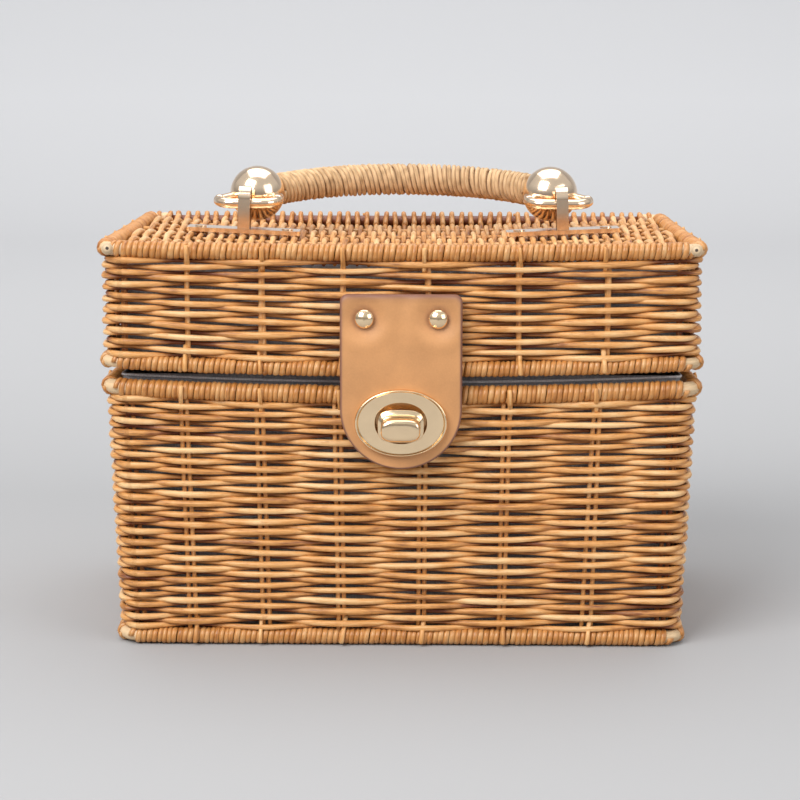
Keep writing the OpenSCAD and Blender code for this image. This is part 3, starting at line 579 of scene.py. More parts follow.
def woven_wall(low_rim, high_rim, front, seed, pair=1.0):
    """Rows of rods round the walls between two rims: at height z a row follows the rounded rectangle whose
    half sizes lie between the rims', swinging out by wave*cos(pi*(stake number + row number)).
    Pairs of thin stakes stand at every column, and the outer columns stand beside the corners."""
    weave = bpy.context.scene.bag_weave
    rng = np.random.default_rng(seed)
    (lx, ly, lz, lt), (hx, hy, hz, ht) = rim_of(low_rim), rim_of(high_rim)
    bottom, top = lz + lt / 2, hz - ht / 2
    rows = round((top - bottom) / weave.row)
    loop = Loop(hx, hy, weave.corner, STEP)
    stations, outer = loop.stakes(front)
    spread = np.concatenate([stations[-1:] - len(loop.cx), stations, stations[:1] + len(loop.cx)])
    phase = np.interp(np.arange(len(loop.cx)), spread, np.arange(-1, len(stations) + 1))
    number = np.arange(rows)[:, None]
    z = bottom + (number + 0.2) * (top - bottom) / (rows - 0.6)
    half = lambda a, b: a + (b - a) * (z - lz) / (hz - lz)
    swing = np.cos(np.pi * (phase + number))
    wander = smooth_noise(rng, (rows,), loop.turns)
    depth = weave.wave * swing * (1 - 0.65 * loop.near) + 0.12 * MM * smooth_noise(rng, (rows,), loop.turns)
    path = loop.at(half(lx, hx), half(ly, hy), z)
    path = path + loop.out * depth[..., None]
    path[..., 2] += weave.uneven * wander - rim_sag(weave, z, loop.low)
    girth = weave.rod / 2 * rng.uniform(0.86, 1.1, (rows, 1))
    girth = girth * (1 + 0.09 * smooth_noise(rng, (rows,), loop.turns))
    tint = rng.uniform(0.2, 0.85, (rows, 1)) + 0.24 * smooth_noise(rng, (rows,), loop.turns)
    # Painted shade and light: each rod is darkened where it swings in behind a stake and lightened a little
    # where it swings out over one.
    tint = tint + np.where(swing > 0, 0.16, 0.6) * swing
    flat = girth * (0.87 + 0.16 * swing)
    rods = tubes(path, loop.out, EZ, girth, flat, weave.sides, tint, closed=True)
    return [rods, upright_rods(low_rim, high_rim, loop, stations, outer, rng, pair)]


def upright_rods(low_rim, high_rim, loop, stations, outer, rng, pair):
    """Stakes: straight rods from the middle of the low rim to the middle of the high one, two in each
    column; the outer columns stand 2 mm further in, and are darkened as painted shade."""
    weave = bpy.context.scene.bag_weave
    (lx, ly, lz, _), (hx, hy, hz, _) = rim_of(low_rim), rim_of(high_rim)
    rise = np.linspace(0, 1, 9)
    low, high = loop.at(lx, ly, lz), loop.at(hx, hy, hz)
    low[:, 2] -= rim_sag(weave, lz, loop.low)
    high[:, 2] -= rim_sag(weave, hz, loop.low)
    number = np.arange(len(loop.cx))
    out = unit(between(loop.out, number, stations))
    along = along_wall(out)
    inward = out * np.where(outer, 2.0 * MM, 0)[:, None]
    paths = []
    for side in (-0.5, 0.5):
        lean = rng.normal(0, 0.25 * MM, (len(stations), 2))
        gap = pair * weave.stake_gap * side
        foot = between(low, number, stations) + along * (gap + lean[:, 0])[:, None] - inward
        head = between(high, number, stations) + along * (gap + lean[:, 1])[:, None] - inward
        paths.append(foot[:, None] + (head - foot)[:, None] * rise[None, :, None])
    path, out, along = np.concatenate(paths), np.tile(out, (2, 1)), np.tile(along, (2, 1))
    girth = weave.stake / 2
    # Painted shade: the outer stakes beside the bends are darkened to stand for the shaded gaps there.
    tint = rng.uniform(0.3, 0.7, (len(path), 1)) - np.tile(np.where(outer, 0.6, 0), 2)[:, None]
    return tubes(path, out[:, None], along[:, None], girth, girth, 7, tint, 40.0)


def stake_ends(rim, loop_front, weave_below, seed):
    """Ends of the stakes laid over a rim: each leaves the weave and follows an arc round its outer half."""
    weave = bpy.context.scene.bag_weave
    rng = np.random.default_rng(seed)
    hx, hy, z, thick = rim_of(rim)
    loop = Loop(hx, hy, weave.corner, STEP)
    stations, outer = loop.stakes(loop_front)
    stations = stations[~outer]
    number = np.arange(len(loop.cx))
    middle = loop.at(hx, hy, z)
    middle[:, 2] -= rim_sag(weave, z, loop.low)
    out = unit(between(loop.out, number, stations))
    base = between(middle, number, stations)
    along = along_wall(out)
    base = base + along * rng.normal(0, 0.6 * MM, len(base))[:, None]
    turn = np.radians(np.linspace(-62, 30, 12))
    reach = thick / 2 + 0.45 * MM
    flat = np.concatenate([[0.3 * MM, 1.6 * MM], reach * np.cos(turn)])
    rise = np.concatenate([[-thick / 2 - 4.2 * MM, -thick / 2 - 2.2 * MM], reach * np.sin(turn)])
    if not weave_below:
        rise = -rise
    lean = rng.normal(0, 0.08, len(base))[:, None]
    path = base[:, None] + out[:, None] * flat[None, :, None] + along[:, None] * (lean * rise)[..., None]
    path[..., 2] = np.maximum(path[..., 2] + rise, 1.2 * MM)
    ahead = unit(np.gradient(path, axis=1))
    face = np.cross(np.broadcast_to(along[:, None], ahead.shape), ahead)
    girth = rng.uniform(0.85, 1.15, (len(base), 1)) * 0.85 * MM
    tint = rng.uniform(0.3, 0.9, (len(base), 1))
    return tubes(path, face, along[:, None], girth * 0.8, girth, 7, tint, 90.0)


def rim_side(rim, side, bend):
    """Middle line of one side of a rim with part of the bend at both ends, its normals and its thickness."""
    weave = bpy.context.scene.bag_weave
    hx, hy, z, thick = rim_of(rim)
    half = (hx, hy)[side % 2] - weave.corner
    away = (hy, hx)[side % 2] - weave.corner
    straight = np.linspace(-1, 1, 81)[1:-1] * half
    turn = np.radians(np.linspace(-bend, 0, 9))
    ends = np.stack([weave.corner * np.sin(turn) - half, weave.corner * np.cos(turn)], -1)
    run = np.stack([straight, 0 * straight + weave.corner], -1)
    line = np.concatenate([ends, run, (ends * [-1, 1])[::-1]])
    facing = np.concatenate([turn, 0 * straight, -turn[::-1]])
    spin = np.radians(90 * side)
    ex = np.array([np.cos(spin), np.sin(spin), 0])
    ey = np.array([np.sin(spin), -np.cos(spin), 0])
    points = line[:, :1] * ex + (line[:, 1:] + away) * ey
    out = np.sin(facing)[:, None] * ex + np.cos(facing)[:, None] * ey
    low = 1 - np.clip(line[:, 0] / half, -1, 1) ** 2
    share = (1.0, 0.4, 0.0, 0.4)[side]
    points[:, 2] = z - rim_sag(weave, z, low * share)
    return points, out, thick


def wound_rim(rim, seed, sides, bend=33.0):
    """Peel wound round the sides of a rim: a helix round the middle line, each turn as wide as the winding,
    with turns that vary a little in width, height and slant."""
    trim = bpy.context.scene.bag_trim
    rng = np.random.default_rng(seed)
    parts = []
    for side in sides:
        line, out, thick = rim_side(rim, side, bend)
        steps = np.linalg.norm(np.diff(line, axis=0), axis=1)
        run = np.concatenate([[0], np.cumsum(steps)])
        turns = round(run[-1] / trim.wind)
        widths = rng.uniform(0.82, 1.18, turns)
        marks = np.concatenate([[0], np.cumsum(widths)]) / widths.sum()
        marks = marks * (run[-1] - trim.wind) + trim.wind / 2
        angle = np.linspace(0, TAU * turns, 12 * turns + 1)
        place = np.interp(angle / TAU, np.arange(turns + 1), marks)
        centre, normal = between(line, run, place), unit(between(out, run, place))
        face = np.cos(angle)[:, None] * normal + np.sin(angle)[:, None] * EZ
        along = unit(np.cross(EZ, normal))
        lift = np.repeat(rng.uniform(-0.28, 0.0, turns + 1), 12)[: len(angle)] * MM
        radius = thick / 2 - trim.peel / 2 + lift
        path = centre + face * radius[:, None]
        tint = np.repeat(rng.uniform(0.35, 0.8, turns + 1), 12)[: len(angle)]
        width = np.interp(angle / TAU, np.arange(turns) + 0.5, widths) * trim.wind / 2 * 1.06
        coil = (path[None], face[None], along[None])
        parts.append(tubes(*coil, trim.peel / 2, width[None], 6, tint[None], 7.0 * side))
    return parts


def border_hoops(rim, seed):
    """Rods of the lid's top bent over the back of its border: every second one follows an arc round
    the rim, with gaps between, and a core painted dark as shade lies inside them."""
    weave = bpy.context.scene.bag_weave
    rng = np.random.default_rng(seed)
    hx, hy, z, thick = rim_of(rim)
    x = mat_places(*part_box("lid_top_weave"))[1::2]
    more = np.arange(1, 5) * (x[1] - x[0])
    x = np.concatenate([x[0] - more[::-1], x, x[-1] + more])
    x = x[np.abs(x) < hx - 1.5 * MM][:, None]
    past = np.clip(np.abs(x) - hx + weave.corner, 0, weave.corner)
    inward = weave.corner - np.sqrt(weave.corner**2 - past**2)
    turn = np.radians(np.linspace(165, -80, 15))
    reach = thick / 2 - 1.2 * MM
    flat = np.concatenate([[-reach - 6.5 * MM, -reach - 3 * MM], reach * np.cos(turn)])
    rise = np.concatenate([[-1.6 * MM, -1.1 * MM], reach * np.sin(turn)])
    ahead = unit(np.stack([0 * flat, np.gradient(flat), np.gradient(rise)], -1))
    face = np.cross(EX, ahead)
    girth = 1.2 * MM * rng.uniform(0.85, 1.0, (len(x), 1))
    lean = rng.normal(0, 0.12, (len(x), 1)) * rise
    path = np.stack(np.broadcast_arrays(x + lean, hy - inward + flat, z + rise), -1)
    tint = rng.uniform(0.4, 0.9, (len(x), 1))
    hoops = tubes(path, face, EX, girth, girth, 7, tint)
    run = np.linspace(-1, 1, 21) * (hx - weave.corner + 2 * MM)
    core = np.stack(np.broadcast_arrays(run, hy, z - 1.0 * MM), -1)[None]
    girth = thick / 2 - 1.0 * MM
    # Painted shade: the core's tint of -0.9 gives it the darkest wicker, to stand for the shade in the gaps
    # between the hoops.
    return [hoops, tubes(core, EY, EZ, girth, girth, 10, -0.9, 3.0)]


def core_bends(rims, seed):
    """Bare core rods in the rims' corners: quarter rings, a little thinner than the wound lengths."""
    weave = bpy.context.scene.bag_weave
    trim = bpy.context.scene.bag_trim
    rng = np.random.default_rng(seed)
    turn = np.radians(np.linspace(-4, 94, 15))
    parts = []
    for rim in rims:
        hx, hy, z, thick = rim_of(rim)
        for quarter in range(4):
            sx, sy = (1, -1, -1, 1)[quarter], (1, 1, -1, -1)[quarter]
            angle = turn + np.pi / 2 * quarter
            out = np.stack([np.cos(angle), np.sin(angle), 0 * angle], -1)
            path = out * weave.corner + np.array([sx * (hx - weave.corner), sy * (hy - weave.corner), z])
            girth = thick / 2 - 0.75 * trim.peel
            tint = rng.uniform(0.2, 0.6)
            parts.append(tubes(path[None], out[None], EZ, girth, girth, 10, tint))
    return parts


def border_ends(rim, seed):
    """Cut ends at the front corners of a rim: the side core ends in a disc that faces forward and up, and a
    stub of the front core lies beside it."""
    rng = np.random.default_rng(seed)
    hx, hy, z, thick = rim_of(rim)
    girth = thick / 2 - 0.25 * MM
    parts = []
    for side in (-1, 1):
        corner = np.array([side * (hx - 1.6 * MM), -hy, z])
        aim = unit(np.array([-0.12 * side, -1.0, 0.18]))
        run = np.linspace(-9, 2.6, 8)[:, None] * MM
        across = unit(np.cross(EZ, aim))
        over = np.cross(aim, across)
        disc = girth * 0.64
        parts.append(tubes((corner + aim * run)[None], across, over, disc, disc, 16, 0.6, side))
        stub = np.linspace(-10, -1, 6)[:, None] * MM * side * EX
        place = np.array([side * (hx - 2.0 * MM), -hy - 0.2 * MM, z + 0.3 * MM]) + stub
        taper = girth * np.linspace(0.7, 0.66, 6)
        tint = rng.uniform(0.6, 0.8)
        parts.append(tubes(place[None], -EY, EZ, taper, taper, 12, tint))
    return parts


def mat_places(low, high):
    """Places across the bag of a mat's rods: four to every two pitches, evenly spaced."""
    count = 4 * round((high[0] - low[0]) / (2 * MAT_PITCH))
    return np.linspace(low[0], high[0], count + 1)[1:-1]


def woven_mat(low, high, level, wave, stakes, dip, inset, seed):
    """A flat woven panel: rods run front to back over and under cross stakes,
    z = level(x) + wave*cos(pi*(stake + rod)), where one side of the swing is wider by a factor, and the
    rods' ends are set into the rims."""
    rng = np.random.default_rng(seed)
    x = mat_places(low, high)
    count = len(x)
    number = np.arange(1, count + 1)[:, None]
    y = np.linspace(low[1] - inset, high[1] + inset, 47)
    marks = np.concatenate([[low[1]], (np.array(stakes) + 1) / 2 * (high[1] - low[1]) + low[1], [high[1]]])
    phase = np.interp(y, marks, np.arange(len(marks)))
    turns = np.linspace(0, TAU * 0.9, len(y))
    swing = np.cos(np.pi * (phase + number))
    xs = x[:, None] + 0.25 * MM * smooth_noise(rng, (count,), turns)
    zs = level(xs) + wave * swing * np.where(swing > 0, dip, 1.0)
    zs = zs + 0.1 * MM * smooth_noise(rng, (count,), turns)
    path = np.stack(np.broadcast_arrays(xs, y, zs), -1)
    thick = MAT_GIRTH * rng.uniform(0.85, 1.12, (count, 1))
    tint = rng.uniform(0.2, 0.85, (count, 1)) + 0.2 * smooth_noise(rng, (count,), turns)
    # Painted shade and light keyed to the swing: darkened where the swing is positive (on the lid's top,
    # with its negative wave, the sunken parts) and lightened a little where it is negative.
    tint = tint - np.where(swing > 0, 0.6, 0.2) * swing
    rods = tubes(path, EZ, EX, thick, thick * (0.9 - 0.12 * swing), 7, tint)
    along = np.linspace(low[0], high[0], 31)
    rows = np.repeat(marks[1:-1], 2) + np.tile([-1.1 * MM, 1.1 * MM], len(stakes))
    cross = np.stack(np.broadcast_arrays(along, rows[:, None], level(along)), -1)
    girth = 0.85 * MM
    tint = rng.uniform(0.4, 0.9, (len(rows), 1))
    return [rods, tubes(cross, EZ, EY, girth, girth, 6, tint, 60.0)]


class BAG_OT_base_weave(bpy.types.Operator):
    """Weaves the base: its walls, its stake ends over both rims and its floor"""

    bl_idname = "bag.base_weave"
    bl_label = "Base weave"

    def execute(self, context):
        parts = woven_wall("base_foot_rim", "base_mouth_rim", BASE_FRONT_STAKES, seed=11)
        nodes = [f"base_{side}_weave" for side in ("front", "back", "left", "right", "corner")]
        put_mesh("base_rods", parts, finish_named("willow rods"), "base", nodes)
        ends = [
            stake_ends("base_mouth_rim", BASE_FRONT_STAKES, weave_below=True, seed=12),
            stake_ends("base_foot_rim", BASE_FRONT_STAKES, weave_below=False, seed=13),
        ]
        put_mesh("base_stake_ends", ends, finish_named("willow rods"), "base")
        low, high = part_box("base_floor")
        middle = (low.z + high.z) / 2 + 0.15 * MM
        level = lambda x: middle + 0 * x
        mat = woven_mat(low, high, level, 0.75 * MM, MAT_STAKES, dip=1.0, inset=0.0, seed=14)
        put_mesh("floor_rods", mat, finish_named("willow rods"), "base", ["base_floor"])
        return {"FINISHED"}


class BAG_OT_lid_weave(bpy.types.Operator):
    """Weaves the lid: its walls, its stake ends over both rims and its top"""

    bl_idname = "bag.lid_weave"
    bl_label = "Lid weave"

    def execute(self, context):
        parts = woven_wall("lid_rim", "lid_border", LID_FRONT_STAKES, seed=21, pair=0.25)
        nodes = [f"lid_{side}_weave" for side in ("front", "back", "left", "right", "corner")]
        put_mesh("lid_rods", parts, finish_named("willow rods"), "lid", nodes)
        ends = [
            stake_ends("lid_rim", LID_FRONT_STAKES, weave_below=False, seed=22),
            stake_ends("lid_border", LID_FRONT_STAKES, weave_below=True, seed=23),
        ]
        put_mesh("lid_stake_ends", ends, finish_named("willow rods"), "lid")
        low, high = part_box("lid_top_weave")
        hx, _, _, _ = rim_of("lid_border")
        sag = 4.0 * MM
        crown = high.z + sag * (1 - (high.x / hx) ** 2) - 2.6 * MM
        level = lambda x: crown - sag * (1 - (x / hx) ** 2)
        mat = woven_mat(low, high, level, -1.5 * MM, TOP_STAKES, dip=1.3, inset=2.5 * MM, seed=24)
        put_mesh("lid_top_rods", mat, finish_named("willow rods"), "lid", ["lid_top_weave"])
        return {"FINISHED"}


class BAG_OT_rims(bpy.types.Operator):
    """Winds the peel round the four rims and bends their bare cores round the corners"""

    bl_idname = "bag.rims"
    bl_label = "Wound rims"

    def execute(self, context):
        for number, rim in enumerate(("base_foot_rim", "base_mouth_rim", "lid_rim", "lid_border")):
            body = rim.split("_")[0]
            open_back = rim == "lid_border"
            winding = wound_rim(rim, 31 + number, (0, 1, 3) if open_back else range(4))
            if open_back:
                winding += border_hoops(rim, 36)
            put_mesh(f"{rim}_winding", winding, finish_named("wound peel"), body, [rim])
        cores = {"base": ("base_foot_rim", "base_mouth_rim"), "lid": ("lid_rim", "lid_border")}
        for body, rims in cores.items():
            put_mesh(f"{body}_corner_cores", core_bends(rims, 40), finish_named("bare cane"), body)
        put_mesh("lid_corner_ends", border_ends("lid_border", 45), finish_named("end grain"), "lid")
        for node in ("left_hinge_loop", "right_hinge_loop"):
            dress(node, "cane solid")
        return {"FINISHED"}


def dress(node, finish, edge=0.0):
    """Gives a CAD node one of the bag's materials, and rounds its edges where a radius is given."""
    mesh = frame["nodes"][node].data
    mesh.materials.clear()
    mesh.materials.append(finish_named(finish))
    if edge:
        rounded = frame["nodes"][node].modifiers.new("Rounded edges", "BEVEL")
        rounded.width = edge
        rounded.segments = 4
        rounded.limit_method = "ANGLE"
        rounded.angle_limit = np.radians(50)


def lining_tub(node, opens_up, seed):
    """A cloth tub inside a solid lining: rounded rectangles from the middle of its floor out and up its
    walls, drawn in by shallow puckers. The lid's has a hem behind its rim that tapers off at the back."""
    rng = np.random.default_rng(seed)
    low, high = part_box(node)
    hx, hy = (high.x - low.x) / 2 - 1.1 * MM, (high.y - low.y) / 2 - 1.1 * MM
    mid_y = (high.y + low.y) / 2
    corner = 2.2 * MM
    loop = Loop(hx, hy, corner, STEP, 4)
    lean = 3.4 * MM if opens_up else 0.0
    floor_shares = np.linspace(0.02, 1, 14)
    rise = np.linspace(0, 1, 26)
    spread = np.concatenate([floor_shares, np.ones(len(rise) - 1)])[:, None]
    share = np.concatenate([np.zeros(len(floor_shares) - 1), rise])[:, None]
    pucker = 0.35 * MM * (smooth_noise(rng, (len(share),), loop.turns) + 1.2)
    pull = lean * (1 - share) + pucker * np.sin(np.pi * share)
    flat = loop.at(hx, hy, 0 * loop.cx)[None] * np.concatenate([spread, spread, 0 * spread], 1)[:, None]
    points = flat - loop.out[None] * (pull * (spread >= 1))[..., None]
    if opens_up:
        inset = lean * (spread < 1) * spread
        points[..., :2] -= (loop.out[None] * inset[..., None])[..., :2]
    hem = (0.0 if opens_up else 5.5 * MM) * np.clip((1 - loop.cy) / 0.1, 0, 1)
    depth = (high.z - low.z) - 0.6 * MM + hem
    z = low.z + 0.5 * MM + share * depth if opens_up else high.z - 0.5 * MM - share * depth
    points[..., 2] = z
    points[..., 1] += mid_y
    return points, (hx, hy, depth)


def piping(node):
    """A cord sewn along the top edge of a lining: a thin tube round the rounded rectangle of its lip."""
    low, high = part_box(node)
    hx, hy = (high.x - low.x) / 2 - 0.6 * MM, (high.y - low.y) / 2 - 0.6 * MM
    loop = Loop(hx, hy, 2.4 * MM, STEP, 4)
    path = loop.at(hx, hy, high.z - 0.5 * MM)[None]
    path[..., 1] += (high.y + low.y) / 2
    path[..., 2] -= rim_sag(bpy.context.scene.bag_weave, high.z, loop.low)
    return tubes(path, loop.out, EZ, 0.5 * MM, 0.5 * MM, 8, 0.5, closed=True)


class BAG_OT_lining(bpy.types.Operator):
    """Sews the cloth tubs that line the base and the lid"""

    bl_idname = "bag.lining"
    bl_label = "Lining"

    def execute(self, context):
        trim = context.scene.bag_trim
        for body, opens_up, seed in (("base", True, 51), ("lid", False, 52)):
            node = f"{body}_lining"
            points, (hx, hy, depth) = lining_tub(node, opens_up, seed)
            part = grid(points if opens_up else points[:, ::-1], wrap_u=False, wrap_v=True)
            centre = np.arange(points.shape[1])[None]
            part[1].append(centre)
            finish = finish_named("grey lining")
            piece = put_mesh(f"{body}_lining_cloth", [part], finish, body, [node])
            thick = piece.modifiers.new("Thickness", "SOLIDIFY")
            thick.thickness = trim.cloth
            thick.offset = 0.0
        # The piping is painted bright as sheen.
        put_mesh("lining_piping", [piping("base_lining")], finish_named("silver piping"), "base")
        return {"FINISHED"}


def clasp_shell():
    """The leather clasp as a closed shell: rings run from the lock's hole out over the front, round the
    edge and back over the rear. The outline is a half circle below straight sides with small top corners."""
    tab_low, tab_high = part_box("clasp_tab")
    flap_low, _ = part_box("clasp_flap")
    lock_low, lock_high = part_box("eyelet_backing")
    half = (tab_high.x - tab_low.x) / 2 - 0.5 * MM
    hole = np.array([0.0, (lock_low.z + lock_high.z) / 2])
    foot, head = flap_low.z, tab_high.z
    corner = 3.0 * MM
    arc = np.radians(np.linspace(180, 360, 73))
    tip = np.radians(np.linspace(0, 90, 9))
    bottom = np.stack([half * np.cos(arc), foot + half + half * np.sin(arc)], -1)
    right = np.stack([half - corner + corner * np.cos(tip), head - corner + corner * np.sin(tip)], -1)
    left = (right * [-1, 1])[::-1]
    straight = lambda a, b: a[-1] + (b[0] - a[-1]) * np.linspace(0, 1, 30)[1:-1, None]
    bends = (bottom, right, left, bottom)
    outline = np.concatenate([run for a, b in zip(bends, bends[1:]) for run in (a, straight(a, b))])
    out = outline - hole
    angle = np.arctan2(out[:, 1], out[:, 0])
    oval = hole + np.stack([10.4 * MM * np.cos(angle), 8.6 * MM * np.sin(angle)], -1)
    share = np.linspace(0, 1, 27)[:, None, None]
    face = oval + (outline - oval) * share
    tangent = unit(np.roll(outline, -1, 0) - np.roll(outline, 1, 0))
    normal = np.stack([tangent[:, 1], -tangent[:, 0]], -1)
    thick = tab_high.y - tab_low.y
    edge = np.radians(np.array([55, 20, -20, -55]))
    rim = 0.55 * MM
    front_face = face - normal * rim * share**4
    round_edge = [outline + normal * rim * (np.cos(a) - 1) for a in edge]
    back_face = front_face[::-1]
    plan = np.concatenate([front_face, round_edge, back_face])
    depth_front = np.full(len(front_face), 0.5 * thick)
    depth_edge = np.sin(edge) * 0.5 * thick
    depth = np.concatenate([depth_front, depth_edge, -depth_front])
    y = (tab_low.y + tab_high.y) / 2 - depth[:, None] + 0 * plan[..., 0]
    in_front = (np.arange(len(plan)) < len(front_face))[:, None]
    rivets = [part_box("tab_rivets")[k] for k in (0, 1)]
    level = (rivets[0].z + rivets[1].z) / 2
    reach = rivets[1].x - 3.4 * MM
    ring_shade = 0.0
    for side in (-1, 1):
        away = np.hypot(plan[..., 0] - side * reach, plan[..., 1] - level)
        y += in_front * 1.5 * MM * np.exp(-((away / (5.4 * MM)) ** 2))
        y -= in_front * 0.8 * MM * np.exp(-(((away - 9.5 * MM) / (3.2 * MM)) ** 2))
        # Painted shadow: a dark ring just outside each rivet's head.
        ring_shade = ring_shade + in_front * 0.5 * np.exp(-(((away - 3.7 * MM) / (1.0 * MM)) ** 2))
    y -= in_front * 0.7 * MM * np.exp(-((((plan[..., 1] - foot) / (head - foot) - 0.6) / 0.2) ** 2))
    points = np.stack([plan[..., 0], y, plan[..., 1]], -1)
    face_tint = np.clip((share[:, 0, 0] - 0.955) / 0.035, 0, 1)
    tint = np.concatenate([face_tint, np.ones(len(edge)), np.full(len(front_face), 0.3)])
    return points, np.clip(tint[:, None] + ring_shade, 0, 1)


def ring(half_x, half_z, count, power):
    """Outline of an oval: x = a*|cos|^(2/p), z = b*|sin|^(2/p) with their signs."""
    turn = np.arange(count) * TAU / count
    c, n = np.cos(turn), np.sin(turn)
    shape = lambda v: np.sign(v) * np.abs(v) ** (2 / power)
    return np.stack([half_x * shape(c), half_z * shape(n)], -1)


def eyelet_shell():
    """The lock's eyelet: rings from the back of the hole's sleeve forward, over a dished face to a raised
    rim and back to the leather. Each is a share of the way from the hole to the rim, and a height."""
    low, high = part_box("eyelet_plate")
    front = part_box("clasp_flap")[0].y
    outer = ring((high.x - low.x) / 2, (high.z - low.z) / 2, 96, 2.05)
    hole = ring(9.4 * MM, 7.5 * MM, 96, 2.1)
    rise = front - low.y
    deep = (high.y - front) / rise
    lip = np.array([
        (0, -deep), (0, 0.60), (0, 0.70), (0.012, 0.76), (0.03, 0.77), (0.06, 0.77), (0.4, 0.76),
        (0.76, 0.75), (0.80, 0.75), (0.82, 0.77), (0.86, 0.94), (0.89, 1.0), (0.93, 1.0), (0.97, 0.90),
        (0.995, 0.62), (1, 0.5), (1, 0.05), (1, 0), (0.5, 0), (0.14, 0), (0.14, -deep),
    ]) * [1, rise]
    plan = hole + (outer - hole) * lip[:, :1, None]
    middle = (low.z + high.z) / 2
    y = np.broadcast_to(front - lip[:, 1:], plan.shape[:2])
    return np.stack([plan[..., 0], y, plan[..., 1] + middle], -1)


def knob_shell():
    """The turning knob: oblong rings from a rounded nose back over the waist and flange, along the stem to
    its washer. Each ring is a distance from the tip with its half sizes."""
    low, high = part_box("turn_knob")
    length = (high.y - low.y) / MM
    stations = np.array([
        (0.0, 4.2, 1.6), (0.0, 5.6, 2.5), (0.12, 6.2, 3.0), (0.5, 6.75, 3.6), (1.2, 7.05, 4.05),
        (2.4, 7.2, 4.4), (6.0, 7.2, 4.4), (9.5, 7.1, 4.3), (10.0, 7.3, 4.5), (10.0, 8.2, 5.8),
        (10.2, 8.4, 6.0), (11.3, 8.4, 6.0), (11.3, 2.5, 2.5), (length - 1, 2.5, 2.5),
        (length - 1, 4.5, 4.5), (length, 4.5, 4.5),
    ]) * MM
    plan = np.stack([ring(a, b, 48, 3.4 if a > 5 * MM or b < a else 2.0) for _, a, b in stations])
    y = np.broadcast_to(low.y + stations[:, :1], plan.shape[:2])
    return np.stack([plan[..., 0], y, plan[..., 1] + (low.z + high.z) / 2], -1)


class BAG_OT_clasp(bpy.types.Operator):
    """Cuts the leather clasp as one piece over the clasp's tab and flap, and dresses the lock"""

    bl_idname = "bag.clasp"
    bl_label = "Clasp"

    def execute(self, context):
        points, tint = clasp_shell()
        part = grid(points, wrap_u=True, wrap_v=True)
        part[2]["tint"] = tint.ravel()
        leather, gold = finish_named("tan leather"), finish_named("pale gold")
        piece = put_mesh("clasp_leather", [part], leather, None, ["clasp_tab", "clasp_flap"])
        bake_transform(piece)
        eyelet = grid(eyelet_shell(), wrap_u=True, wrap_v=True)
        put_mesh("lock_eyelet", [eyelet], gold, "flap", ["eyelet_plate"])
        knob = grid(knob_shell(), wrap_u=False, wrap_v=True)
        ends = np.stack([np.arange(48), np.arange(48)[::-1] + len(knob[0]) - 48])
        knob[1].append(ends)
        put_mesh("lock_knob", [knob], gold, "knob", ["turn_knob"])
        for node in ("lock_backing", "tab_rivets", "eyelet_backing"):
            dress(node, "pale gold")
        # The lock plate gets the gold in painted shade.
        dress("lock_plate", "amber gold")
        return {"FINISHED"}


def wound_grip():
    """The handle's twine and its core: strands wind round an arc, each point the arc's point plus the
    grip's radius times (outward*cos(turn) + up*sin(turn)), and all is tilted about the bails to the fold."""
    trim = bpy.context.scene.bag_trim
    rng = np.random.default_rng(61)
    low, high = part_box("handle_grip")
    pivot = np.array(JOINTS["handle_swing"]["pos_m"])
    half, radius, count = trim.grip / 2, trim.grip_radius, (trim.strands,)
    fold = np.arctan2(high.z - half - pivot[2], high.y - half - pivot[1])
    reach = (high.y - half - pivot[1]) / np.cos(fold)
    sweep = np.arcsin(min(1, ((high.x - low.x) / 2 - half * 0.72) / radius))
    turns = round(2 * sweep * radius / (trim.twine * trim.strands))
    angle = np.linspace(0, TAU * turns, 18 * turns + 1)
    share = angle / angle[-1] * 2 - 1
    bow = share * sweep + 0.005 * smooth_noise(rng, count, share * np.pi, 8) * (1 - share**8)
    spin = angle + TAU * np.arange(trim.strands)[:, None] / trim.strands
    outward = lambda a: np.stack([np.sin(a), np.cos(a), 0 * a], -1)
    arc = lambda a: outward(a) * radius + EY * (reach - radius)
    face = np.cos(spin)[..., None] * outward(bow) + np.sin(spin)[..., None] * EZ
    lift = 0.2 * MM * smooth_noise(rng, count, share * np.pi * 5, 6)
    path = arc(bow) + face * (half - trim.twine / 2 + lift)[..., None]
    along = unit(np.cross(face, unit(np.gradient(path, axis=1))))
    tilt = np.array(Matrix.Rotation(fold, 3, "X")).T
    tint = 0.5 + 0.4 * smooth_noise(rng, count, share * np.pi * 9, 6)
    thick = trim.twine / 2
    strands = tubes(path @ tilt + pivot, face @ tilt, along @ tilt, thick, thick * 0.88, 8, tint)
    bend = np.linspace(-sweep, sweep, 41)
    girth = half - trim.twine * 0.8
    line = (arc(bend) @ tilt + pivot)[None]
    core = tubes(line, (outward(bend) @ tilt)[None], EZ @ tilt, girth, girth, 12, 0.1)
    return [strands, core]


class BAG_OT_handle(bpy.types.Operator):
    """Winds the twine on the handle and dresses its metal ends, bails and plates"""

    bl_idname = "bag.handle"
    bl_label = "Handle"

    def execute(self, context):
        twine = finish_named("straw twine")
        put_mesh("grip_twine", wound_grip(), twine, "handle", ["handle_grip"])
        for kind, edge in (("ball_end", 0.0), ("bail", 0.85 * MM), ("handle_plate", 0.45 * MM)):
            for side in ("left", "right"):
                dress(f"{side}_{kind}", "rose gold", edge)
        dress("plate_rivets", "rose gold")
        dress("plate_backings", "rose gold", 0.2 * MM)
        return {"FINISHED"}


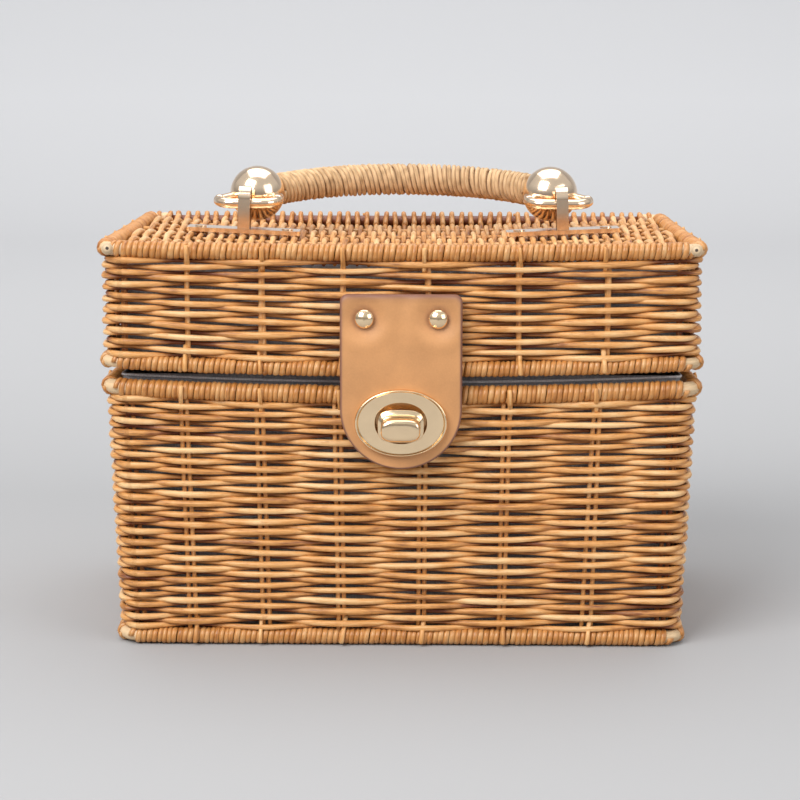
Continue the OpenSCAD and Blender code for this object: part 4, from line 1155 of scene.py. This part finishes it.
def put_sweep(floor):
    """The floor: a line that runs level, turns up through a quarter circle and rises, carried across the
    view. Its colour grows paler with the distance behind the bag."""
    made, tree, shader = start_material("pale sweep", Roughness=0.9, Specular_IOR_Level=0.1)
    place = add(tree, "SeparateXYZ", {0: add(tree, "TexCoord").outputs["Object"]}).outputs["Y"]
    far = add(tree, "MapRange", {"Value": place, "From Min": 0.2, "From Max": 2.4}).outputs["Result"]
    paint(tree, shader, ramp(tree, far, [(0.0, floor), (0.9, scaled(floor, 2.4))]))
    bend = np.linspace(0, np.pi / 2, 25)
    curve = np.stack([1.6 + 1.2 * np.sin(bend), 1.2 - 1.2 * np.cos(bend)], -1)
    line = np.concatenate([[[-3.0, 0]], curve, [[2.8, 4.0]]])
    across = np.linspace(-5, 5, 9)
    points = np.stack(np.broadcast_arrays(across[:, None], line[:, 0], line[:, 1]), -1)
    put_mesh("sweep", [grid(points, wrap_u=False, wrap_v=False)], made)


def soft_room(scene):
    """A plain room: warm grey below, grey at eye level and white above."""
    room = bpy.data.worlds.new("Soft room")
    room.use_nodes = True
    scene.world = room
    tree = room.node_tree
    back = tree.nodes["Background"]
    height = add(tree, "SeparateXYZ", {0: add(tree, "TexCoord").outputs["Generated"]}).outputs["Z"]
    level = add(tree, "MapRange", {"Value": height, "From Min": -1.0, "From Max": 1.0}).outputs["Result"]
    below, beside, above = (0.32, 0.30, 0.28), (0.42, 0.42, 0.43), (0.95, 0.97, 1.0)
    tones = [(0.3, below), (0.52, beside), (0.72, above), (1.0, (1, 1, 1))]
    tree.links.new(ramp(tree, level, tones), back.inputs["Color"])
    back.inputs["Strength"].default_value = 0.62


def put_lamp(scene, name, place, height, size, power):
    """A square lamp at a place, turned to a height on the bag's middle line."""
    lamp = bpy.data.lights.new(name, "AREA")
    lamp.size = size
    lamp.energy = power
    made = bpy.data.objects.new(name, lamp)
    back = unit(np.array(place) - height * EZ)
    right = unit(np.cross(EZ, back))
    turn = np.stack([right, np.cross(back, right), back], 1)
    made.matrix_world = Matrix.Translation(place) @ Matrix(turn.tolist()).to_4x4()
    scene.collection.objects.link(made)


def put_camera(scene):
    """The view: a long lens a little above the lid, set by its pan, tilt and roll."""
    camera = bpy.data.cameras.new("camera")
    camera.sensor_width = 36.0
    camera.lens = 93.87
    camera.clip_start = 0.01
    camera.clip_end = 50
    made = bpy.data.objects.new("camera", camera)
    pan, tilt, roll = np.radians((-0.60, 9.596, 0.15))
    ahead = np.array([np.sin(pan) * np.cos(tilt), np.cos(pan) * np.cos(tilt), -np.sin(tilt)])
    level = np.array([np.cos(pan), -np.sin(pan), 0])
    upright = np.cross(level, ahead)
    right = np.cos(roll) * level + np.sin(roll) * upright
    top = np.cos(roll) * upright - np.sin(roll) * level
    turn = Matrix(np.stack([right, top, -ahead], 1).tolist()).to_4x4()
    made.matrix_world = Matrix.Translation((0.0075, -0.8244, 0.222)) @ turn
    scene.collection.objects.link(made)
    scene.camera = made


class BAG_OT_stage(bpy.types.Operator):
    """Sets the floor that sweeps up behind the bag, the soft lights and the camera"""

    bl_idname = "bag.stage"
    bl_label = "Stage"

    def execute(self, context):
        scene = context.scene
        put_sweep(tuple(scene.bag_finishes.floor))
        soft_room(scene)
        put_lamp(scene, "key", (-0.75, -1.0, 1.15), height=0.08, size=1.0, power=24.0)
        put_lamp(scene, "top", (0.0, 0.35, 1.5), height=0.1, size=1.4, power=14.0)
        put_lamp(scene, "fill", (1.2, -0.9, 0.7), height=0.1, size=0.9, power=6.5)
        put_camera(scene)
        scene.view_settings.view_transform = "Standard"
        return {"FINISHED"}


OPERATORS = (
    BAG_OT_stage,
    BAG_OT_base_weave,
    BAG_OT_lid_weave,
    BAG_OT_rims,
    BAG_OT_lining,
    BAG_OT_clasp,
    BAG_OT_handle,
)


class BAG_PT_panel(bpy.types.Panel):
    """Lists the bag's pieces in the sidebar"""

    bl_idname = "BAG_PT_panel"
    bl_label = "Wicker box bag"
    bl_space_type = "VIEW_3D"
    bl_region_type = "UI"
    bl_category = "Wicker Bag"

    def draw(self, context):
        for group in (context.scene.bag_weave, context.scene.bag_trim, context.scene.bag_finishes):
            for key in group.__annotations__:
                self.layout.prop(group, key)
        for operator in OPERATORS:
            self.layout.operator(operator.bl_idname)


GROUPS = {"bag_weave": WeaveSizes, "bag_trim": TrimSizes, "bag_finishes": Finishes}


def register():
    """Registers the classes and puts their values on the scene."""
    for made in (*GROUPS.values(), *OPERATORS, BAG_PT_panel):
        bpy.utils.register_class(made)
    for key, group in GROUPS.items():
        setattr(bpy.types.Scene, key, PointerProperty(type=group))


def unregister():
    """Takes the values off the scene and unregisters the classes."""
    for key in GROUPS:
        delattr(bpy.types.Scene, key)
    for made in reversed((*GROUPS.values(), *OPERATORS, BAG_PT_panel)):
        bpy.utils.unregister_class(made)


def main():
    register()
    for operator in OPERATORS:
        getattr(bpy.ops.bag, operator.bl_idname.split(".")[1])()


if __name__ == "__main__":
    main()
